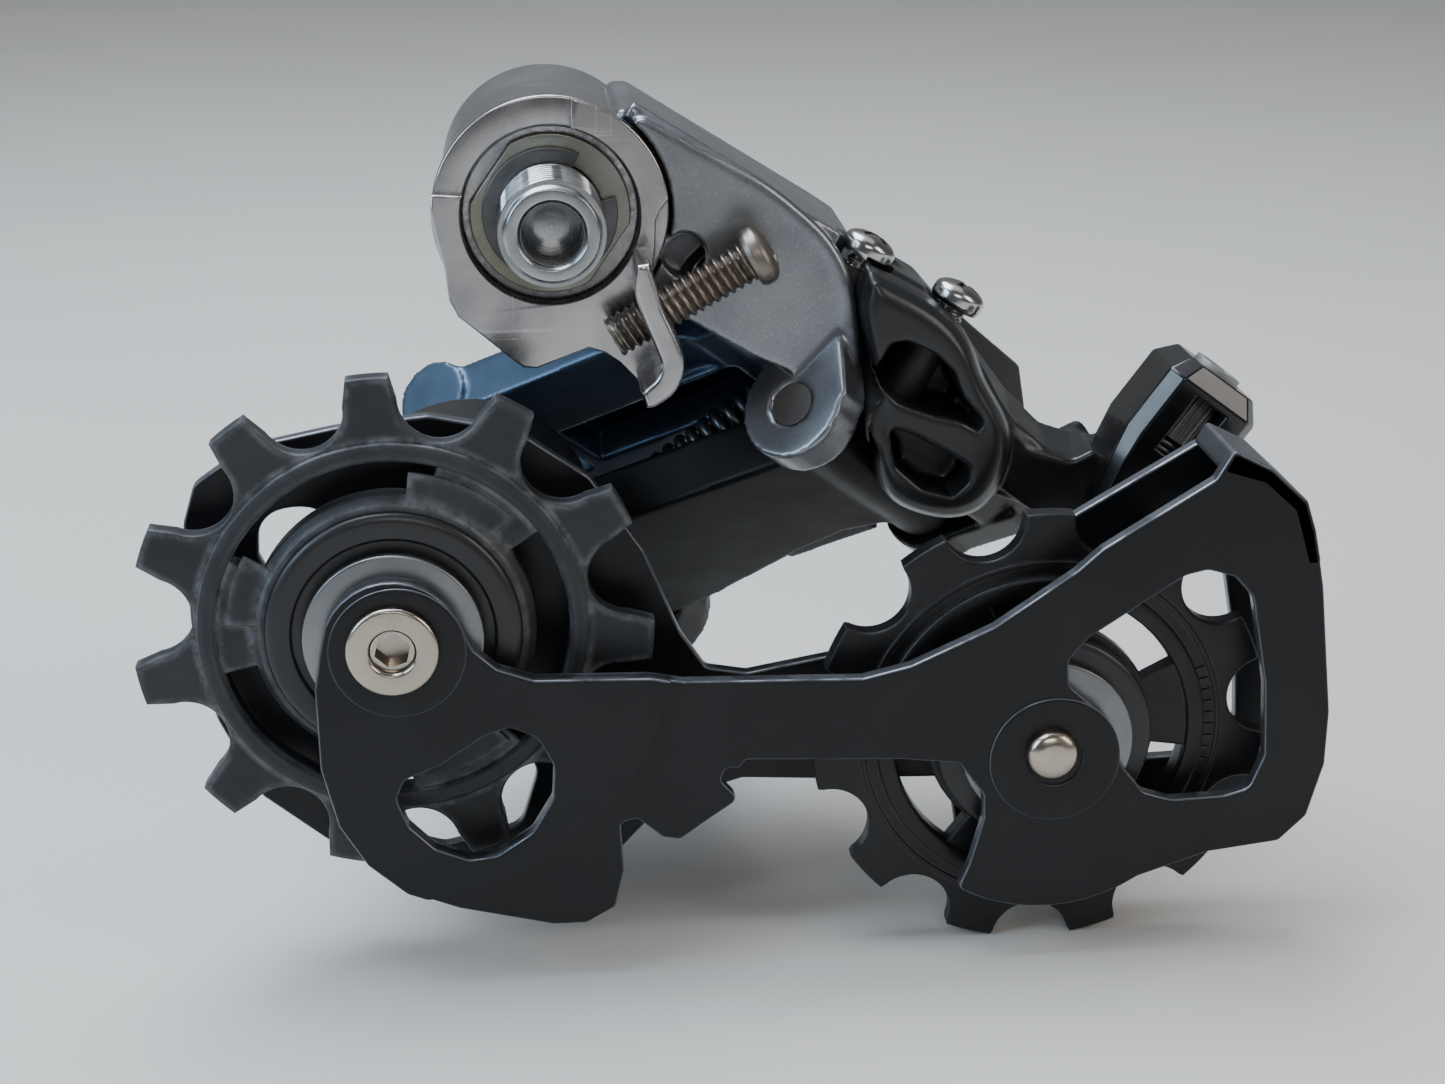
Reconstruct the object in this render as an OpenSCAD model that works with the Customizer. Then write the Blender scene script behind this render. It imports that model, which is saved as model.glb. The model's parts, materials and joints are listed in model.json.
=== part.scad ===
// Rear bicycle derailleur, relaxed with no chain on it.
// Origin: on the mounting bolt's axis, at the plane that meets the frame's hanger.
// +X is the rear of the bicycle, +Y is outboard (away from the wheel), +Z is up.

/* [Pulleys] */
// Distance between the two pulley centres
pulley_spacing = 63.3; // [62:0.1:64]
// Tip radius of the guide pulley
guide_tip_r = 24.4; // [23.8:0.1:24.8]
// Tip radius of the tension pulley
tension_tip_r = 22.4; // [21.8:0.1:23]
// Thickness of the pulley teeth
tooth_t = 2.2; // [1.8:0.1:2.6]

/* [Cage] */
// Gap between the two cage plates
cage_gap = 8.3; // [8:0.1:9]
// Thickness of the cage plates
cage_plate_t = 1.6; // [1.4:0.1:2]
// Mid-plane of the pulleys, inboard of the hanger face
pulley_inboard = 12.5; // [12:0.1:13]

/* [Mounting bolt] */
// Radius of the M10 thread
bolt_r = 5; // [4.9:0.05:5]
// Length of thread inboard of the hanger face
bolt_thread_len = 9.3; // [8:0.1:9.4]
// Radius of the stop plate's ring
stop_ring_r = 11.3; // [11:0.1:11.6]

/* [Linkage] */
// Distance between the two pins of a link
link_len = 36; // [35.5:0.1:36.5]
// Tilt of the link pins from the vertical
pin_tilt = 124; // [124:1:124]
// Heading of the link pins seen from above
pin_heading = 45; // [45:1:45]
// Radius of the link pins
pin_r = 2.2; // [2:0.1:2.3]
// Running clearance in the pivots
run_gap = 0.05; // [0.02:0.01:0.08]

/* [Hidden] */
$fn = 48;
eps = 0.01;

// Pulleys and cage
teeth = 11;
chain_pitch = 12.7;
pitch_r = chain_pitch / (2 * sin(180 / teeth));
roller_r = 3.9;
cage_lean = 11.75;
guide_at = [-15.7, -36.2];
tension_at = guide_at + pulley_spacing * [cos(cage_lean), -sin(cage_lean)];
guide_tooth_turn = 93.6;
tension_tooth_turn = 89.8;
pulley_y = -pulley_inboard;
outer_in_y = pulley_y + cage_gap / 2;
outer_out_y = outer_in_y + cage_plate_t;
inner_in_y = pulley_y - cage_gap / 2;
inner_out_y = inner_in_y - cage_plate_t;
cap_t = 0.9;
cap_r = 8.4;
hub_r = 12;
hub_half = cage_gap / 2 - cap_t - 0.3;
bush_r = 4;
pulley_bolt_r = 2.5;
side_gap = 0.3;

// Pivots
p_at = [-8.5, -33];
p_axle_r = 5;
p_barrel_r = 12.5;
p_barrel_y = [-6, 9.8];
p_bush_y = [1.2, 4.6];
p_groove_y = 6.4;
p_screw_r = 0.9;
p_axle_end_y = 8.2;
p_bush_r = 6.2;
p_cavity_r = 10.4;
b_journal_r = 5.5;
b_bush_r = 6.6;
b_barrel_r = 10.6;
b_barrel_y = [2.3, 25.2];
b_cavity_r = 9.2;
bolt_head_r = 8;
plate_front_y = 0.2;
plate_back_y = 2;
plate_step_y = 1.2;
ring_groove_r = 4.7;
ring_y = [0.05, 0.55];
knuckle_front_y = 0.5;

// Linkage: local X runs along the links, local Z along the pins, local Y out of the links' faces
link_origin = [23.05, -1, -18.9];
link_turn = 59;
outer_pin_at = [2.9, 12.3];
link_end_r = 4.2;
swing_max = 68;
lobe_r = 5.6;
inner_link_z = [4.3, 28];
outer_link_z = [-6, 18];
outer_link_b_z = -2;
outer_boss_z = -8.2;
ear_t = 4;
ear_gap = 0.4;
p_boss_z = [-1.6, 13.6];

// Small screws
b_screw_from = [5.6, -4, -11.3];
b_screw_rise = 29;
b_screw_r = 2;
b_screw_len = 15;
limit_screw_tilt = 29.5;
limit_screw_at = [[30.6, 4.5, -5.2], [39.6, 4.5, -10.3]];
limit_screw_r = 1.5;
limit_head_r = 2.7;
sleeve_end = 12.2;

// Cable stop: local Z runs along the cable's way out
stop_at = [59, 5, -29.2];
stop_tilt = 36;
adjuster_r = 3.2;

// Round stretch of an outline
function arc(centre, r, from, to, steps = 12) =
    [for (i = [0:steps]) centre + r * [cos(from + (to - from) * i / steps),
                                       sin(from + (to - from) * i / steps)]];

// A plate whose outline is drawn in X and Z, from one Y to another
module slab(y_from, y_to) {
    translate([0, y_to, 0]) rotate([90, 0, 0]) linear_extrude(y_to - y_from) children();
}

// A rod along Y
module rod_y(at, y_from, y_to, r) {
    translate([at[0], y_to, at[1]]) rotate([90, 0, 0]) cylinder(r = r, h = y_to - y_from);
}

// A tube along Y
module tube_y(at, y_from, y_to, r_out, r_in) {
    difference() {
        rod_y(at, y_from, y_to, r_out);
        rod_y(at, y_from - 1, y_to + 1, r_in);
    }
}

// A solid of revolution about a Y axis; its profile is drawn as radius and distance outboard
module turned_y(at) {
    translate([at[0], 0, at[1]]) rotate([-90, 0, 0]) rotate_extrude() children();
}

// Rounds the corners of an outline
module soften(convex = 0.8, concave = 0.8) {
    offset(r = -concave, $fn = 24) offset(r = concave + convex, $fn = 24)
        offset(delta = -convex) children();
}

// The linkage's own frame
module on_links() {
    translate(link_origin) rotate([0, pin_tilt, pin_heading]) rotate([0, 0, link_turn]) children();
}

module on_cable_stop() {
    translate(stop_at) rotate([0, stop_tilt, 0]) children();
}

// Closed coils drawn as a stack of rings in one wall
module coil_stack(mean_r, wire_r, from, turns) {
    step = 1.8 * wire_r;
    for (i = [0:turns - 1]) translate([mean_r, from + wire_r + i * step]) circle(r = wire_r);
}

// ---- Hanger side: these stay with the bicycle's frame ----

module mounting_bolt() {
    color("silver") difference() {
        union() {
            turned_y([0, 0]) polygon([[0, -bolt_thread_len], [bolt_r - 0.7, -bolt_thread_len],
                [bolt_r, -bolt_thread_len + 0.9], [bolt_r, ring_y[0]], [ring_groove_r, ring_y[0]],
                [ring_groove_r, ring_y[1]], [bolt_r, ring_y[1]], [bolt_r, plate_step_y],
                [b_journal_r, plate_step_y],
                [b_journal_r, 20.4], [bolt_head_r, 20.4], [bolt_head_r, 23.6],
                [bolt_head_r - 0.8, 24.4], [0, 24.4]]);
        }
        rod_y([0, 0], -bolt_thread_len - 1, -bolt_thread_len + 4, 2.9);
        translate([0, 25, 0]) rotate([90, 0, 0]) cylinder(r = 2.9, h = 4.5, $fn = 6);
    }
}

module keyed_washer() {
    color("lightgray") difference() {
        slab(ring_y[1], plate_step_y - 0.1) intersection() {
            circle(r = 7.6);
            rotate(-35) square([13.6, 20], center = true);
        }
        rod_y([0, 0], -2, 2, bolt_r);
    }
}

module snap_ring() {
    color("dimgray") slab(ring_y[0], ring_y[1]) difference() {
        circle(r = 6.4);
        circle(r = ring_groove_r);
        polygon([[0, 0], [12, 3], [12, 9], [6, 12]]);
    }
}

// ---- Stop plate and its screw ----

module stop_plate_outline() {
    polygon(concat(arc([0, 0], stop_ring_r, -2, 168, 40),
        [[-11.3, 0.3], [-10.1, -5], [-9.4, -9.3], [-4, -13.9], [-1.6, -14.8], [3.4, -12.8],
         [4.9, -13.3], [8.4, -16.9], [10.6, -15.2], [10.8, -11.5], [8.7, -6.5], [9.6, -3]]));
}

module stop_plate_wall() {
    soften(0.6, 0.6) polygon([[8.8, -3.4], [9.7, -5.4], [10.2, -7.2], [11.8, -10.7], [12.3, -12.8],
        [11.8, -14.9], [10.3, -16.3], [8.6, -17], [7.6, -15.5], [9.2, -14.3], [10, -12.8],
        [9.3, -10.9], [8, -8.3], [7.5, -5.9], [7.9, -3.4]]);
}

module stop_plate() {
    color("gray") difference() {
        union() {
            slab(plate_front_y, plate_back_y) circle(r = stop_ring_r);
            slab(plate_front_y - 0.9, knuckle_front_y - side_gap) difference() {
                soften(0.5, 0.5) stop_plate_outline();
                circle(r = 9.6);
                translate([-15, 0.3]) square([30, 15]);
            }
            slab(-8, knuckle_front_y - side_gap) stop_plate_wall();
        }
        rod_y([0, 0], -1, plate_step_y, 8.4);
        rod_y([0, 0], 0, 3, b_journal_r + run_gap);
        on_b_screw() translate([0, 0, -2]) cylinder(r = b_screw_r + run_gap, h = 18);
    }
}

module on_b_screw() {
    translate(b_screw_from) rotate([0, 90 - b_screw_rise, 0]) children();
}

// Screw with a domed head, standing on Z
module domed_screw(r, shank, head_r, head_h, slot_w) {
    difference() {
        union() {
            cylinder(r1 = r - 0.5, r2 = r, h = 0.6);
            translate([0, 0, 0.6]) cylinder(r = r, h = shank - 0.6);
            translate([0, 0, shank]) cylinder(r = head_r, h = head_h * 0.5);
            translate([0, 0, shank + head_h * 0.5])
                cylinder(r1 = head_r, r2 = head_r * 0.6, h = head_h * 0.5);
        }
        for (turn = [20, 110]) rotate(turn)
            translate([-head_r * 0.6, -slot_w / 2, shank + head_h * 0.45])
                cube([head_r * 1.2, slot_w, head_h]);
    }
}

module b_tension_screw() {
    color("lightgray") on_b_screw() domed_screw(b_screw_r, b_screw_len, 2.9, 2.2, 0.9);
}

// ---- B knuckle: the casting that turns on the mounting bolt ----

module b_front_outline() {
    polygon([[7.6, 9.7], [13.9, 6.1], [19.7, 2.6], [23.6, -0.2], [26.7, -3.3], [28.5, -6.7],
        [29.3, -10.7], [29.6, -16], [24, -16.5], [19.6, -14.5], [12, -10], [9, -6.4]]);
}

module b_roof_outline() {
    polygon([[6.5, 9.4], [8.2, 9.4], [27.2, -2.4], [30, -4.3], [28.2, -7], [24.6, -5.6],
        [8, 4.6], [6.5, 4.6]]);
}

// Near ear of the inner link's B pin
module b_lobe_outline() {
    soften(0.1, 1.5) union() {
        circle(r = lobe_r);
        polygon([[-6, -1], [-2, -5], [-1, 5.4], [-4, 12], [-6.5, 9]]);
    }
}

module b_knuckle() {
    color([0.3, 0.3, 0.32]) difference() {
        union() {
            rod_y([0, 0], b_barrel_y[0], b_barrel_y[1], b_barrel_r);
            slab(knuckle_front_y, 3.3) soften(1, 1) b_front_outline();
            slab(3, 21) soften(0.6, 0.6) b_roof_outline();
            slab(18.5, 21) soften(1, 1) polygon([[6, 9.4], [8.2, 9.4], [27.2, -2.4], [28.4, -7],
                [20, -9.5], [8, -7.5]]);
            on_links() translate([0, 0, -0.2]) linear_extrude(4.2) b_lobe_outline();
            on_links() translate([outer_pin_at[0], outer_pin_at[1], outer_boss_z])
                cylinder(r = 4.4, h = outer_link_b_z - ear_gap - outer_boss_z);
        }
        rod_y([0, 0], 0, plate_back_y + side_gap, stop_ring_r + side_gap);
        rod_y([0, 0], 0, b_barrel_y[1] + 1, b_bush_r);
        rod_y([0, 0], 0, 13, b_cavity_r);
        rod_y([0, 0], 20, b_barrel_y[1] + 1, bolt_head_r + side_gap);
        on_links() translate([0, 0, -1]) cylinder(r = pin_r, h = 8);
        on_links() translate([outer_pin_at[0], outer_pin_at[1], -11]) cylinder(r = pin_r, h = 10);
        on_links() translate([outer_pin_at[0], outer_pin_at[1], outer_link_b_z - ear_gap])
            cylinder(r = link_end_r + 0.6, h = 30);
        limit_screw_room();
    }
}

module b_bushing() {
    color("darkkhaki") tube_y([0, 0], 13, 20, b_bush_r, b_journal_r + run_gap);
}

module b_spring() {
    color("slategray") turned_y([0, 0]) coil_stack(7.8, 1.1, 2.7, 5);
}

module b_seal_ring() {
    color("black") tube_y([0, 0], plate_back_y, 2.5, b_cavity_r - 0.1, 7.2);
}

// ---- Link bracket: the black casting that carries the far ears, limit screws and cable stop ----

module bracket_top_outline() {
    polygon([[30.3, -4.8], [37, -8.8], [40, -12.3], [42, -17], [44.8, -22.6], [47.6, -25.6],
        [52, -27], [55.2, -25.4], [59.6, -32.2], [55, -34.6], [48, -32], [43.5, -28.5], [41, -23],
        [37, -20], [31, -15], [29, -8.5]]);
}

module limit_screw_frame(i) {
    translate(limit_screw_at[i]) rotate([0, limit_screw_tilt, 0]) children();
}

// Room for the limit screws: sleeve, head and the way out for the tip
module limit_screw_room() {
    for (i = [0, 1]) limit_screw_frame(i) {
        translate([0, 0, -1.6]) cylinder(r = limit_head_r + 0.6, h = 9);
        translate([0, 0, -sleeve_end]) cylinder(r = 2.1, h = 12);
        translate([0, 0, -sleeve_end - 4]) cylinder(r = limit_screw_r + 0.3, h = 5);
    }
}

module link_bracket() {
    color([0.08, 0.08, 0.09]) difference() {
        union() {
            slab(3.4, 14) soften(1, 1) bracket_top_outline();
            on_links() translate([0, 0, 4.4]) linear_extrude(28.6) soften(1, 0.5)
                polygon([[-10.5, -3.5], [-5.2, -5.4], [-5.2, 9], [-7, 15], [-11, 15]]);
            on_links() translate([0, 0, inner_link_z[1] + ear_gap]) linear_extrude(ear_t + 0.6)
                soften(0.1, 1) union() {
                    circle(r = 5.4);
                    translate([-9.5, -5]) square([9.5, 9.5]);
                }
            on_links() translate([0, 0, outer_link_z[1] + ear_gap]) linear_extrude(ear_t)
                soften(0.1, 1) union() {
                    translate(outer_pin_at) circle(r = 4.8);
                    translate([-10, 8]) square([12, 8]);
                }
        }
        slab(2, 6.5) soften(1, 0.5) polygon([[33, -11.5], [36.5, -12.5], [39.8, -16], [42, -20],
            [38, -18.8], [33.8, -16.8]]);
        on_links() translate([0, 0, -1]) cylinder(r = pin_r, h = 40);
        on_links() translate([0, 0, 0]) cylinder(r = link_end_r + 0.5, h = inner_link_z[1] + ear_gap);
        on_links() translate([outer_pin_at[0], outer_pin_at[1], -8])
            cylinder(r = link_end_r + 0.5, h = outer_link_z[1] + ear_gap + 8);
        on_links() translate([outer_pin_at[0], outer_pin_at[1], 0]) cylinder(r = pin_r, h = 30);
        on_links() translate([0, 0, -1]) linear_extrude(5.2) b_lobe_outline();
        // room for the links to swing
        on_links() translate([-1, -8, 4]) cube([40, 12, inner_link_z[1] + ear_gap - 4]);
        limit_screw_room();
        on_cable_stop() translate([0, 0, -0.01]) linear_extrude(12) square([12.6, 16], center = true);
        on_cable_stop() translate([0, 0, -4]) cylinder(r = 3.2, h = 6);
    }
}

module limit_screw(i) {
    shank = sleeve_end - 1.8;
    color("silver") limit_screw_frame(i) translate([0, 0, -shank - 0.4])
        domed_screw(limit_screw_r, shank, limit_head_r, 2.2, 0.8);
}

module limit_screw_high() { limit_screw(0); }

module limit_screw_low() { limit_screw(1); }

module limit_screw_sleeves() {
    color("black") for (i = [0, 1]) limit_screw_frame(i) difference() {
        translate([0, 0, -sleeve_end]) cylinder(r = 2.1, h = sleeve_end - 1.6);
        translate([0, 0, -sleeve_end - 1]) cylinder(r = limit_screw_r + run_gap, h = 14);
    }
}

module link_pins_b() {
    color("silver") on_links() {
        cylinder(r = pin_r, h = inner_link_z[1] + ear_gap + ear_t);
        translate([outer_pin_at[0], outer_pin_at[1], outer_boss_z + 0.2])
            cylinder(r = pin_r, h = outer_link_z[1] + ear_gap + ear_t - outer_boss_z - 0.2);
    }
}

// ---- Cable stop and barrel adjuster ----

module cable_stop() {
    color([0.1, 0.1, 0.1]) on_cable_stop() difference() {
        union() {
            linear_extrude(13.4) soften(1.4, 0.1) square([11, 10], center = true);
            translate([0, 0, -4]) cylinder(r = 3.2, h = 4.5);
        }
        translate([0, 0, 3]) cylinder(r = adjuster_r + 0.4, h = 7);
        translate([-2.6, -8, 4]) cube([6, 16, 5.6]);
        translate([0, 0, 9]) cylinder(r = adjuster_r + run_gap, h = 8);
        translate([0, 0, -5]) cylinder(r = 1.2, h = 20);
    }
}

module barrel_adjuster() {
    color("gray") on_cable_stop() difference() {
        translate([0, 0, 5.6]) cylinder(r = adjuster_r, h = 8.4);
        translate([0, 0, 4]) cylinder(r = 1, h = 20);
        translate([0, 0, 8.2]) cylinder(r = 2.6, h = 10);
    }
}

module adjuster_spring() {
    color("slategray") on_cable_stop() translate([0, 0, 3]) rotate_extrude()
        coil_stack(2.3, 0.4, 0, 3);
}

// ---- Links ----

module link_shape(from, to, half, end_r, x0, y0) {
    translate([x0, y0, from]) linear_extrude(to - from) soften(0.05, 2) union() {
        circle(r = end_r);
        translate([link_len, 0]) circle(r = end_r);
        translate([0, -half]) square([link_len, 2 * half]);
    }
}

module pin_holes(x0, y0, r, from, to) {
    for (x = [0, link_len]) translate([x0 + x, y0, from]) cylinder(r = r, h = to - from);
}

// The outer link's P end is a fork around a boss of the P knuckle
module outer_link() {
    p_x = outer_pin_at[0] + link_len;
    color("steelblue") on_links() difference() {
        union() {
            link_shape(outer_link_b_z, outer_link_z[1], 2.6, link_end_r, outer_pin_at[0], outer_pin_at[1]);
            translate([outer_pin_at[0] + 9, outer_pin_at[1], outer_link_z[0]])
                linear_extrude(8) soften(0.05, 2) union() {
                    translate([link_len - 9, 0]) circle(r = link_end_r);
                    translate([0, -2.6]) square([link_len - 9, 5.2]);
                }
        }
        pin_holes(outer_pin_at[0], outer_pin_at[1], 3, -20, 30);
        translate([p_x - link_end_r - 2, outer_pin_at[1] - 8, p_boss_z[0] - ear_gap])
            cube([20, 16, p_boss_z[1] - p_boss_z[0] + 2 * ear_gap]);
        // room for the B knuckle's lobe at full swing
        translate([outer_pin_at[0], outer_pin_at[1], outer_link_z[0] - 1]) rotate([0, 0, swing_max])
            translate(-outer_pin_at) cylinder(r = lobe_r + 0.5, h = 11.5);
        // pocket for the return spring
        translate([outer_pin_at[0] + 6, outer_pin_at[1] - 4, 5]) cube([22, 5, 8]);
    }
}

module outer_link_bushings() {
    color("goldenrod") on_links() translate([outer_pin_at[0], outer_pin_at[1], 0]) {
        bushing(0, outer_link_b_z, outer_link_z[1]);
        bushing(link_len, outer_link_z[0], p_boss_z[0] - ear_gap);
        bushing(link_len, p_boss_z[1] + ear_gap, outer_link_z[1]);
    }
}

module bushing(x, from, to) {
    translate([x, 0, from]) difference() {
        cylinder(r = 3, h = to - from);
        translate([0, 0, -1]) cylinder(r = pin_r + run_gap, h = to - from + 2);
    }
}

module inner_link() {
    color([0.05, 0.05, 0.06]) on_links() difference() {
        union() {
            link_shape(inner_link_z[0], inner_link_z[1], 2.4, link_end_r, 0, 0);
            // arm that carries the cable anchor
            translate([6, -1.5, inner_link_z[1] - 4]) cube([11, 9.5, 4]);
        }
        // pocket for the return spring
        translate([8, -1, 6]) cube([22, 6, 8]);
        pin_holes(0, 0, 3, -2, 40);
        translate([12, 5, 20]) cylinder(r = 1.9, h = 12);
    }
}

module inner_link_bushings() {
    color("goldenrod") on_links() for (x = [0, link_len]) bushing(x, inner_link_z[0], inner_link_z[1]);
}

module cable_anchor_washer() {
    color("gray") on_links() translate([12, 5, inner_link_z[1]]) difference() {
        translate([-4.5, -3.5, 0]) cube([9, 7, 1.4]);
        translate([0, 0, -1]) cylinder(r = 2.5, h = 4);
        translate([-6, 2.6, -0.2]) cube([12, 0.9, 0.6]);
    }
}

module cable_anchor_bolt() {
    color("silver") on_links() translate([12, 5, inner_link_z[1]]) difference() {
        union() {
            translate([0, 0, -5]) cylinder(r = 1.9, h = 6);
            cylinder(r = 2.5, h = 1.4);
            translate([0, 0, 1.4]) cylinder(r = 4, h = 3.4, $fn = 6);
        }
        translate([0, 0, 3]) cylinder(r = 2, h = 4, $fn = 6);
    }
}

// Extension spring across the parallelogram, drawn as closed coils
module return_spring() {
    spring_z = 9.5;
    wire_r = 0.6;
    mean_r = 2;
    from = [outer_pin_at[0] + 7, outer_pin_at[1] - 5];
    to = [link_len - 8, 3.4];
    run = to - from;
    color("dimgray") on_links() translate([from[0], from[1], spring_z])
        rotate([0, 0, atan2(run[1], run[0])]) rotate([0, 90, 0])
            rotate_extrude() coil_stack(mean_r, wire_r, 0, floor(norm(run) / (1.8 * wire_r)));
}

// ---- P knuckle: carries the cage ----

module p_knuckle() {
    outer_x = link_len + outer_pin_at[0];
    color([0.1, 0.1, 0.1]) difference() {
        union() {
            rod_y(p_at, p_barrel_y[0], p_barrel_y[1], p_barrel_r);
            // stop lug for the cage
            slab(-6, -2) polygon(concat([p_at], arc(p_at, 16.6, 208, 218, 3)));
            // near ear of the inner link, and the webs behind both pins
            on_links() translate([link_len, 0, -4.5]) cylinder(r = 5.2, h = 8.4);
            on_links() translate([link_len, -5.1, -4.4]) cube([6.5, 10.2, 8.2]);
            on_links() translate([0, 0, p_boss_z[0]]) linear_extrude(p_boss_z[1] - p_boss_z[0])
                soften(1, 0.8) union() {
                    translate([outer_x, outer_pin_at[1]]) circle(r = link_end_r);
                    polygon([[outer_x, outer_pin_at[1] - 3], [outer_x, outer_pin_at[1] + 4],
                        [link_len + 9.6, 14], [link_len + 10, 4], [link_len + 9, -6],
                        [link_len + 5.2, -6], [link_len + 5.2, 7.4]]);
                }
            on_links() translate([0, 0, -4]) linear_extrude(37) soften(1.2, 0.5)
                polygon([[link_len + 5.2, -6], [link_len + 9, -5], [link_len + 9.6, 6],
                    [link_len + 5.2, 6]]);
            on_links() translate([0, 0, inner_link_z[1] + ear_gap]) linear_extrude(ear_t + 0.6)
                soften(0.1, 1) union() {
                    translate([link_len, 0]) circle(r = 5.2);
                    translate([link_len, -5]) square([8.5, 10]);
                }
        }
        rod_y(p_at, 0, p_bush_y[1], p_bush_r);
        rod_y(p_at, 0, p_axle_end_y + 0.3, p_axle_r + run_gap);
        rod_y(p_at, p_barrel_y[0] - 1, p_bush_y[0], p_cavity_r);
        tube_y(p_at, p_barrel_y[0] - 1, p_barrel_y[0] + 0.5, 12, p_cavity_r - eps);
        on_p_axle_screw() cylinder(r = p_screw_r, h = 20);
        on_links() translate([link_len, 0, -1]) cylinder(r = pin_r, h = 40);
        on_links() translate([link_len, 0, inner_link_z[0] - ear_gap])
            cylinder(r = link_end_r + 0.5, h = inner_link_z[1] - inner_link_z[0] + 2 * ear_gap);
        on_links() translate([outer_x, outer_pin_at[1], -11]) cylinder(r = pin_r, h = 40);
    }
}

module link_pins_p() {
    color("silver") on_links() {
        translate([link_len, 0, -0.9]) cylinder(r = pin_r, h = 0.9 + inner_link_z[1] + ear_gap + ear_t);
        translate([outer_pin_at[0] + link_len, outer_pin_at[1], outer_link_z[0] + 0.2])
            cylinder(r = pin_r, h = outer_link_z[1] - outer_link_z[0] - 0.4);
    }
}

module p_bushing() {
    color("darkkhaki") tube_y(p_at, p_bush_y[0], p_bush_y[1], p_bush_r, p_axle_r + run_gap);
}

module p_spring() {
    color("slategray") turned_y(p_at) coil_stack(8.4, 1, -5.6, 3);
}

module p_seal_ring() {
    color("black") tube_y(p_at, p_barrel_y[0] - 0.4, p_barrel_y[0] + 0.5, 12, p_cavity_r + 0.2);
}

// The axle has a groove near its end, and the retaining screw's tip stands in it
module p_axle() {
    color("silver") turned_y(p_at) polygon([[0, outer_in_y], [3.6, outer_in_y], [3.6, outer_out_y],
        [p_axle_r, outer_out_y], [p_axle_r, p_groove_y - 1.1], [p_axle_r - 1, p_groove_y - 1.1],
        [p_axle_r - 1, p_groove_y + 1.1], [p_axle_r, p_groove_y + 1.1], [p_axle_r, p_axle_end_y],
        [0, p_axle_end_y]]);
}

// Local Z runs outwards from the P axle along the retaining screw
module on_p_axle_screw() {
    translate([p_at[0], p_groove_y, p_at[1]]) rotate([0, -115, 0]) translate([0, 0, p_axle_r - 0.8])
        children();
}

module p_axle_screw() {
    color("silver") on_p_axle_screw() difference() {
        cylinder(r = p_screw_r, h = 7.6);
        translate([0, 0, 6]) cylinder(r = 0.6, h = 3, $fn = 6);
    }
}

// ---- Cage ----

module inner_plate_outline() {
    polygon(concat(arc(guide_at, 6.5, 172, 22),
        [[-8.4, -36.6], [-6.2, -38.6], [-2.8, -39.8], [8, -40], [11, -40.6], [28, -40.9],
         [32.5, -39.8], [40.3, -36.2], [47.9, -30.9], [50.3, -28.7], [60.6, -22.2], [62.2, -19.4],
         [66, -21.3], [69.6, -24.6], [70.6, -27.5], [71.8, -33.3], [73.4, -46], [73.4, -51.5],
         [72, -57], [69.4, -59.6], [62.4, -60.5]],
        arc(tension_at, 16.6, -56, -121, 10),
        [[38.8, -60.7], [40, -56], [39.9, -53.4], [37.4, -50], [32, -49.4], [16.7, -48.8],
         [16.7, -51.2], [15.3, -49.2], [14.5, -50.8], [16.3, -52.9], [12.6, -55.5], [10.7, -56.9],
         [9, -56.6], [6.6, -54.5], [5, -54.9], [5.3, -60], [4.4, -63.8], [1.6, -65.4], [-1.6, -65.4],
         [-10.5, -63.3], [-15.4, -61.4], [-19, -58.2], [-21.5, -54], [-22.9, -48], [-23, -40]]));
}

module guide_window() {
    polygon([[-16, -51.4], [-15.2, -49.5], [-11.8, -48.1], [-7.5, -45.2], [-5.2, -44.5],
        [-2.7, -45.6], [-1.2, -48.5], [-1.4, -52], [-3.4, -55.4], [-6.8, -57.7], [-9.4, -58],
        [-12.6, -56.7], [-15, -54.2]]);
}

module tension_window() {
    polygon([[58.4, -31.6], [60.5, -31.1], [63.2, -31.9], [65, -34], [66.8, -43], [67.3, -50.4],
        [66, -53.8], [63.6, -54.5], [58.4, -54.7], [55.6, -53.8], [53.4, -51], [52.2, -47.3],
        [50.2, -44.6], [47.8, -42.4], [47.6, -39.8], [49.4, -37.6], [54.7, -34]]);
}

module outer_plate_outline() {
    polygon([[-26.7, -19.2], [-20.8, -18], [-12, -17], [-4, -18.6], [3, -23.5], [8, -31],
        [11.5, -39.5], [14, -43.3], [18, -44], [26.7, -42.4], [36, -38], [49.8, -28.7], [62, -21.4],
        [66, -23.4], [70, -27], [71.8, -33.3], [73.4, -46], [73.4, -51.5], [72, -57],
        [69.4, -59.6], [62, -61], [55, -64], [46.3, -65.7], [39.6, -64], [38.4, -56], [25, -55.7],
        [17.6, -55.3], [10, -57.5], [5, -63], [-1, -65.2], [-12, -63.9], [-22.8, -60.9],
        [-29.6, -55.3], [-33.4, -47], [-35.2, -37], [-35.2, -27], [-34, -23.2], [-31.4, -21.4]]);
}

module outer_left_window() {
    polygon([[-31.2, -29.5], [-28.5, -24.6], [-23, -22], [-20.4, -25], [-22, -31], [-26, -33.6]]);
}

module outer_low_window() {
    polygon([[-21.5, -53], [-15, -50.4], [-7, -49.8], [-2.5, -53], [-4.5, -59.6], [-12, -61.4],
        [-18.5, -59.4]]);
}

module outer_cage_plate() {
    color([0.07, 0.07, 0.08]) difference() {
        slab(outer_in_y, outer_out_y) difference() {
            soften(1.5, 1) outer_plate_outline();
            soften(1.5, 0.1) outer_left_window();
            soften(2, 0.1) outer_low_window();
            soften(1.2, 0.1) tension_window();
        }
        rod_y(p_at, outer_in_y - 1, outer_out_y + 1, 3.6);
        rod_y(guide_at, outer_in_y - 1, outer_out_y + 1, pulley_bolt_r);
        rod_y(tension_at, outer_in_y - 1, outer_out_y + 1, pulley_bolt_r);
    }
}

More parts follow.
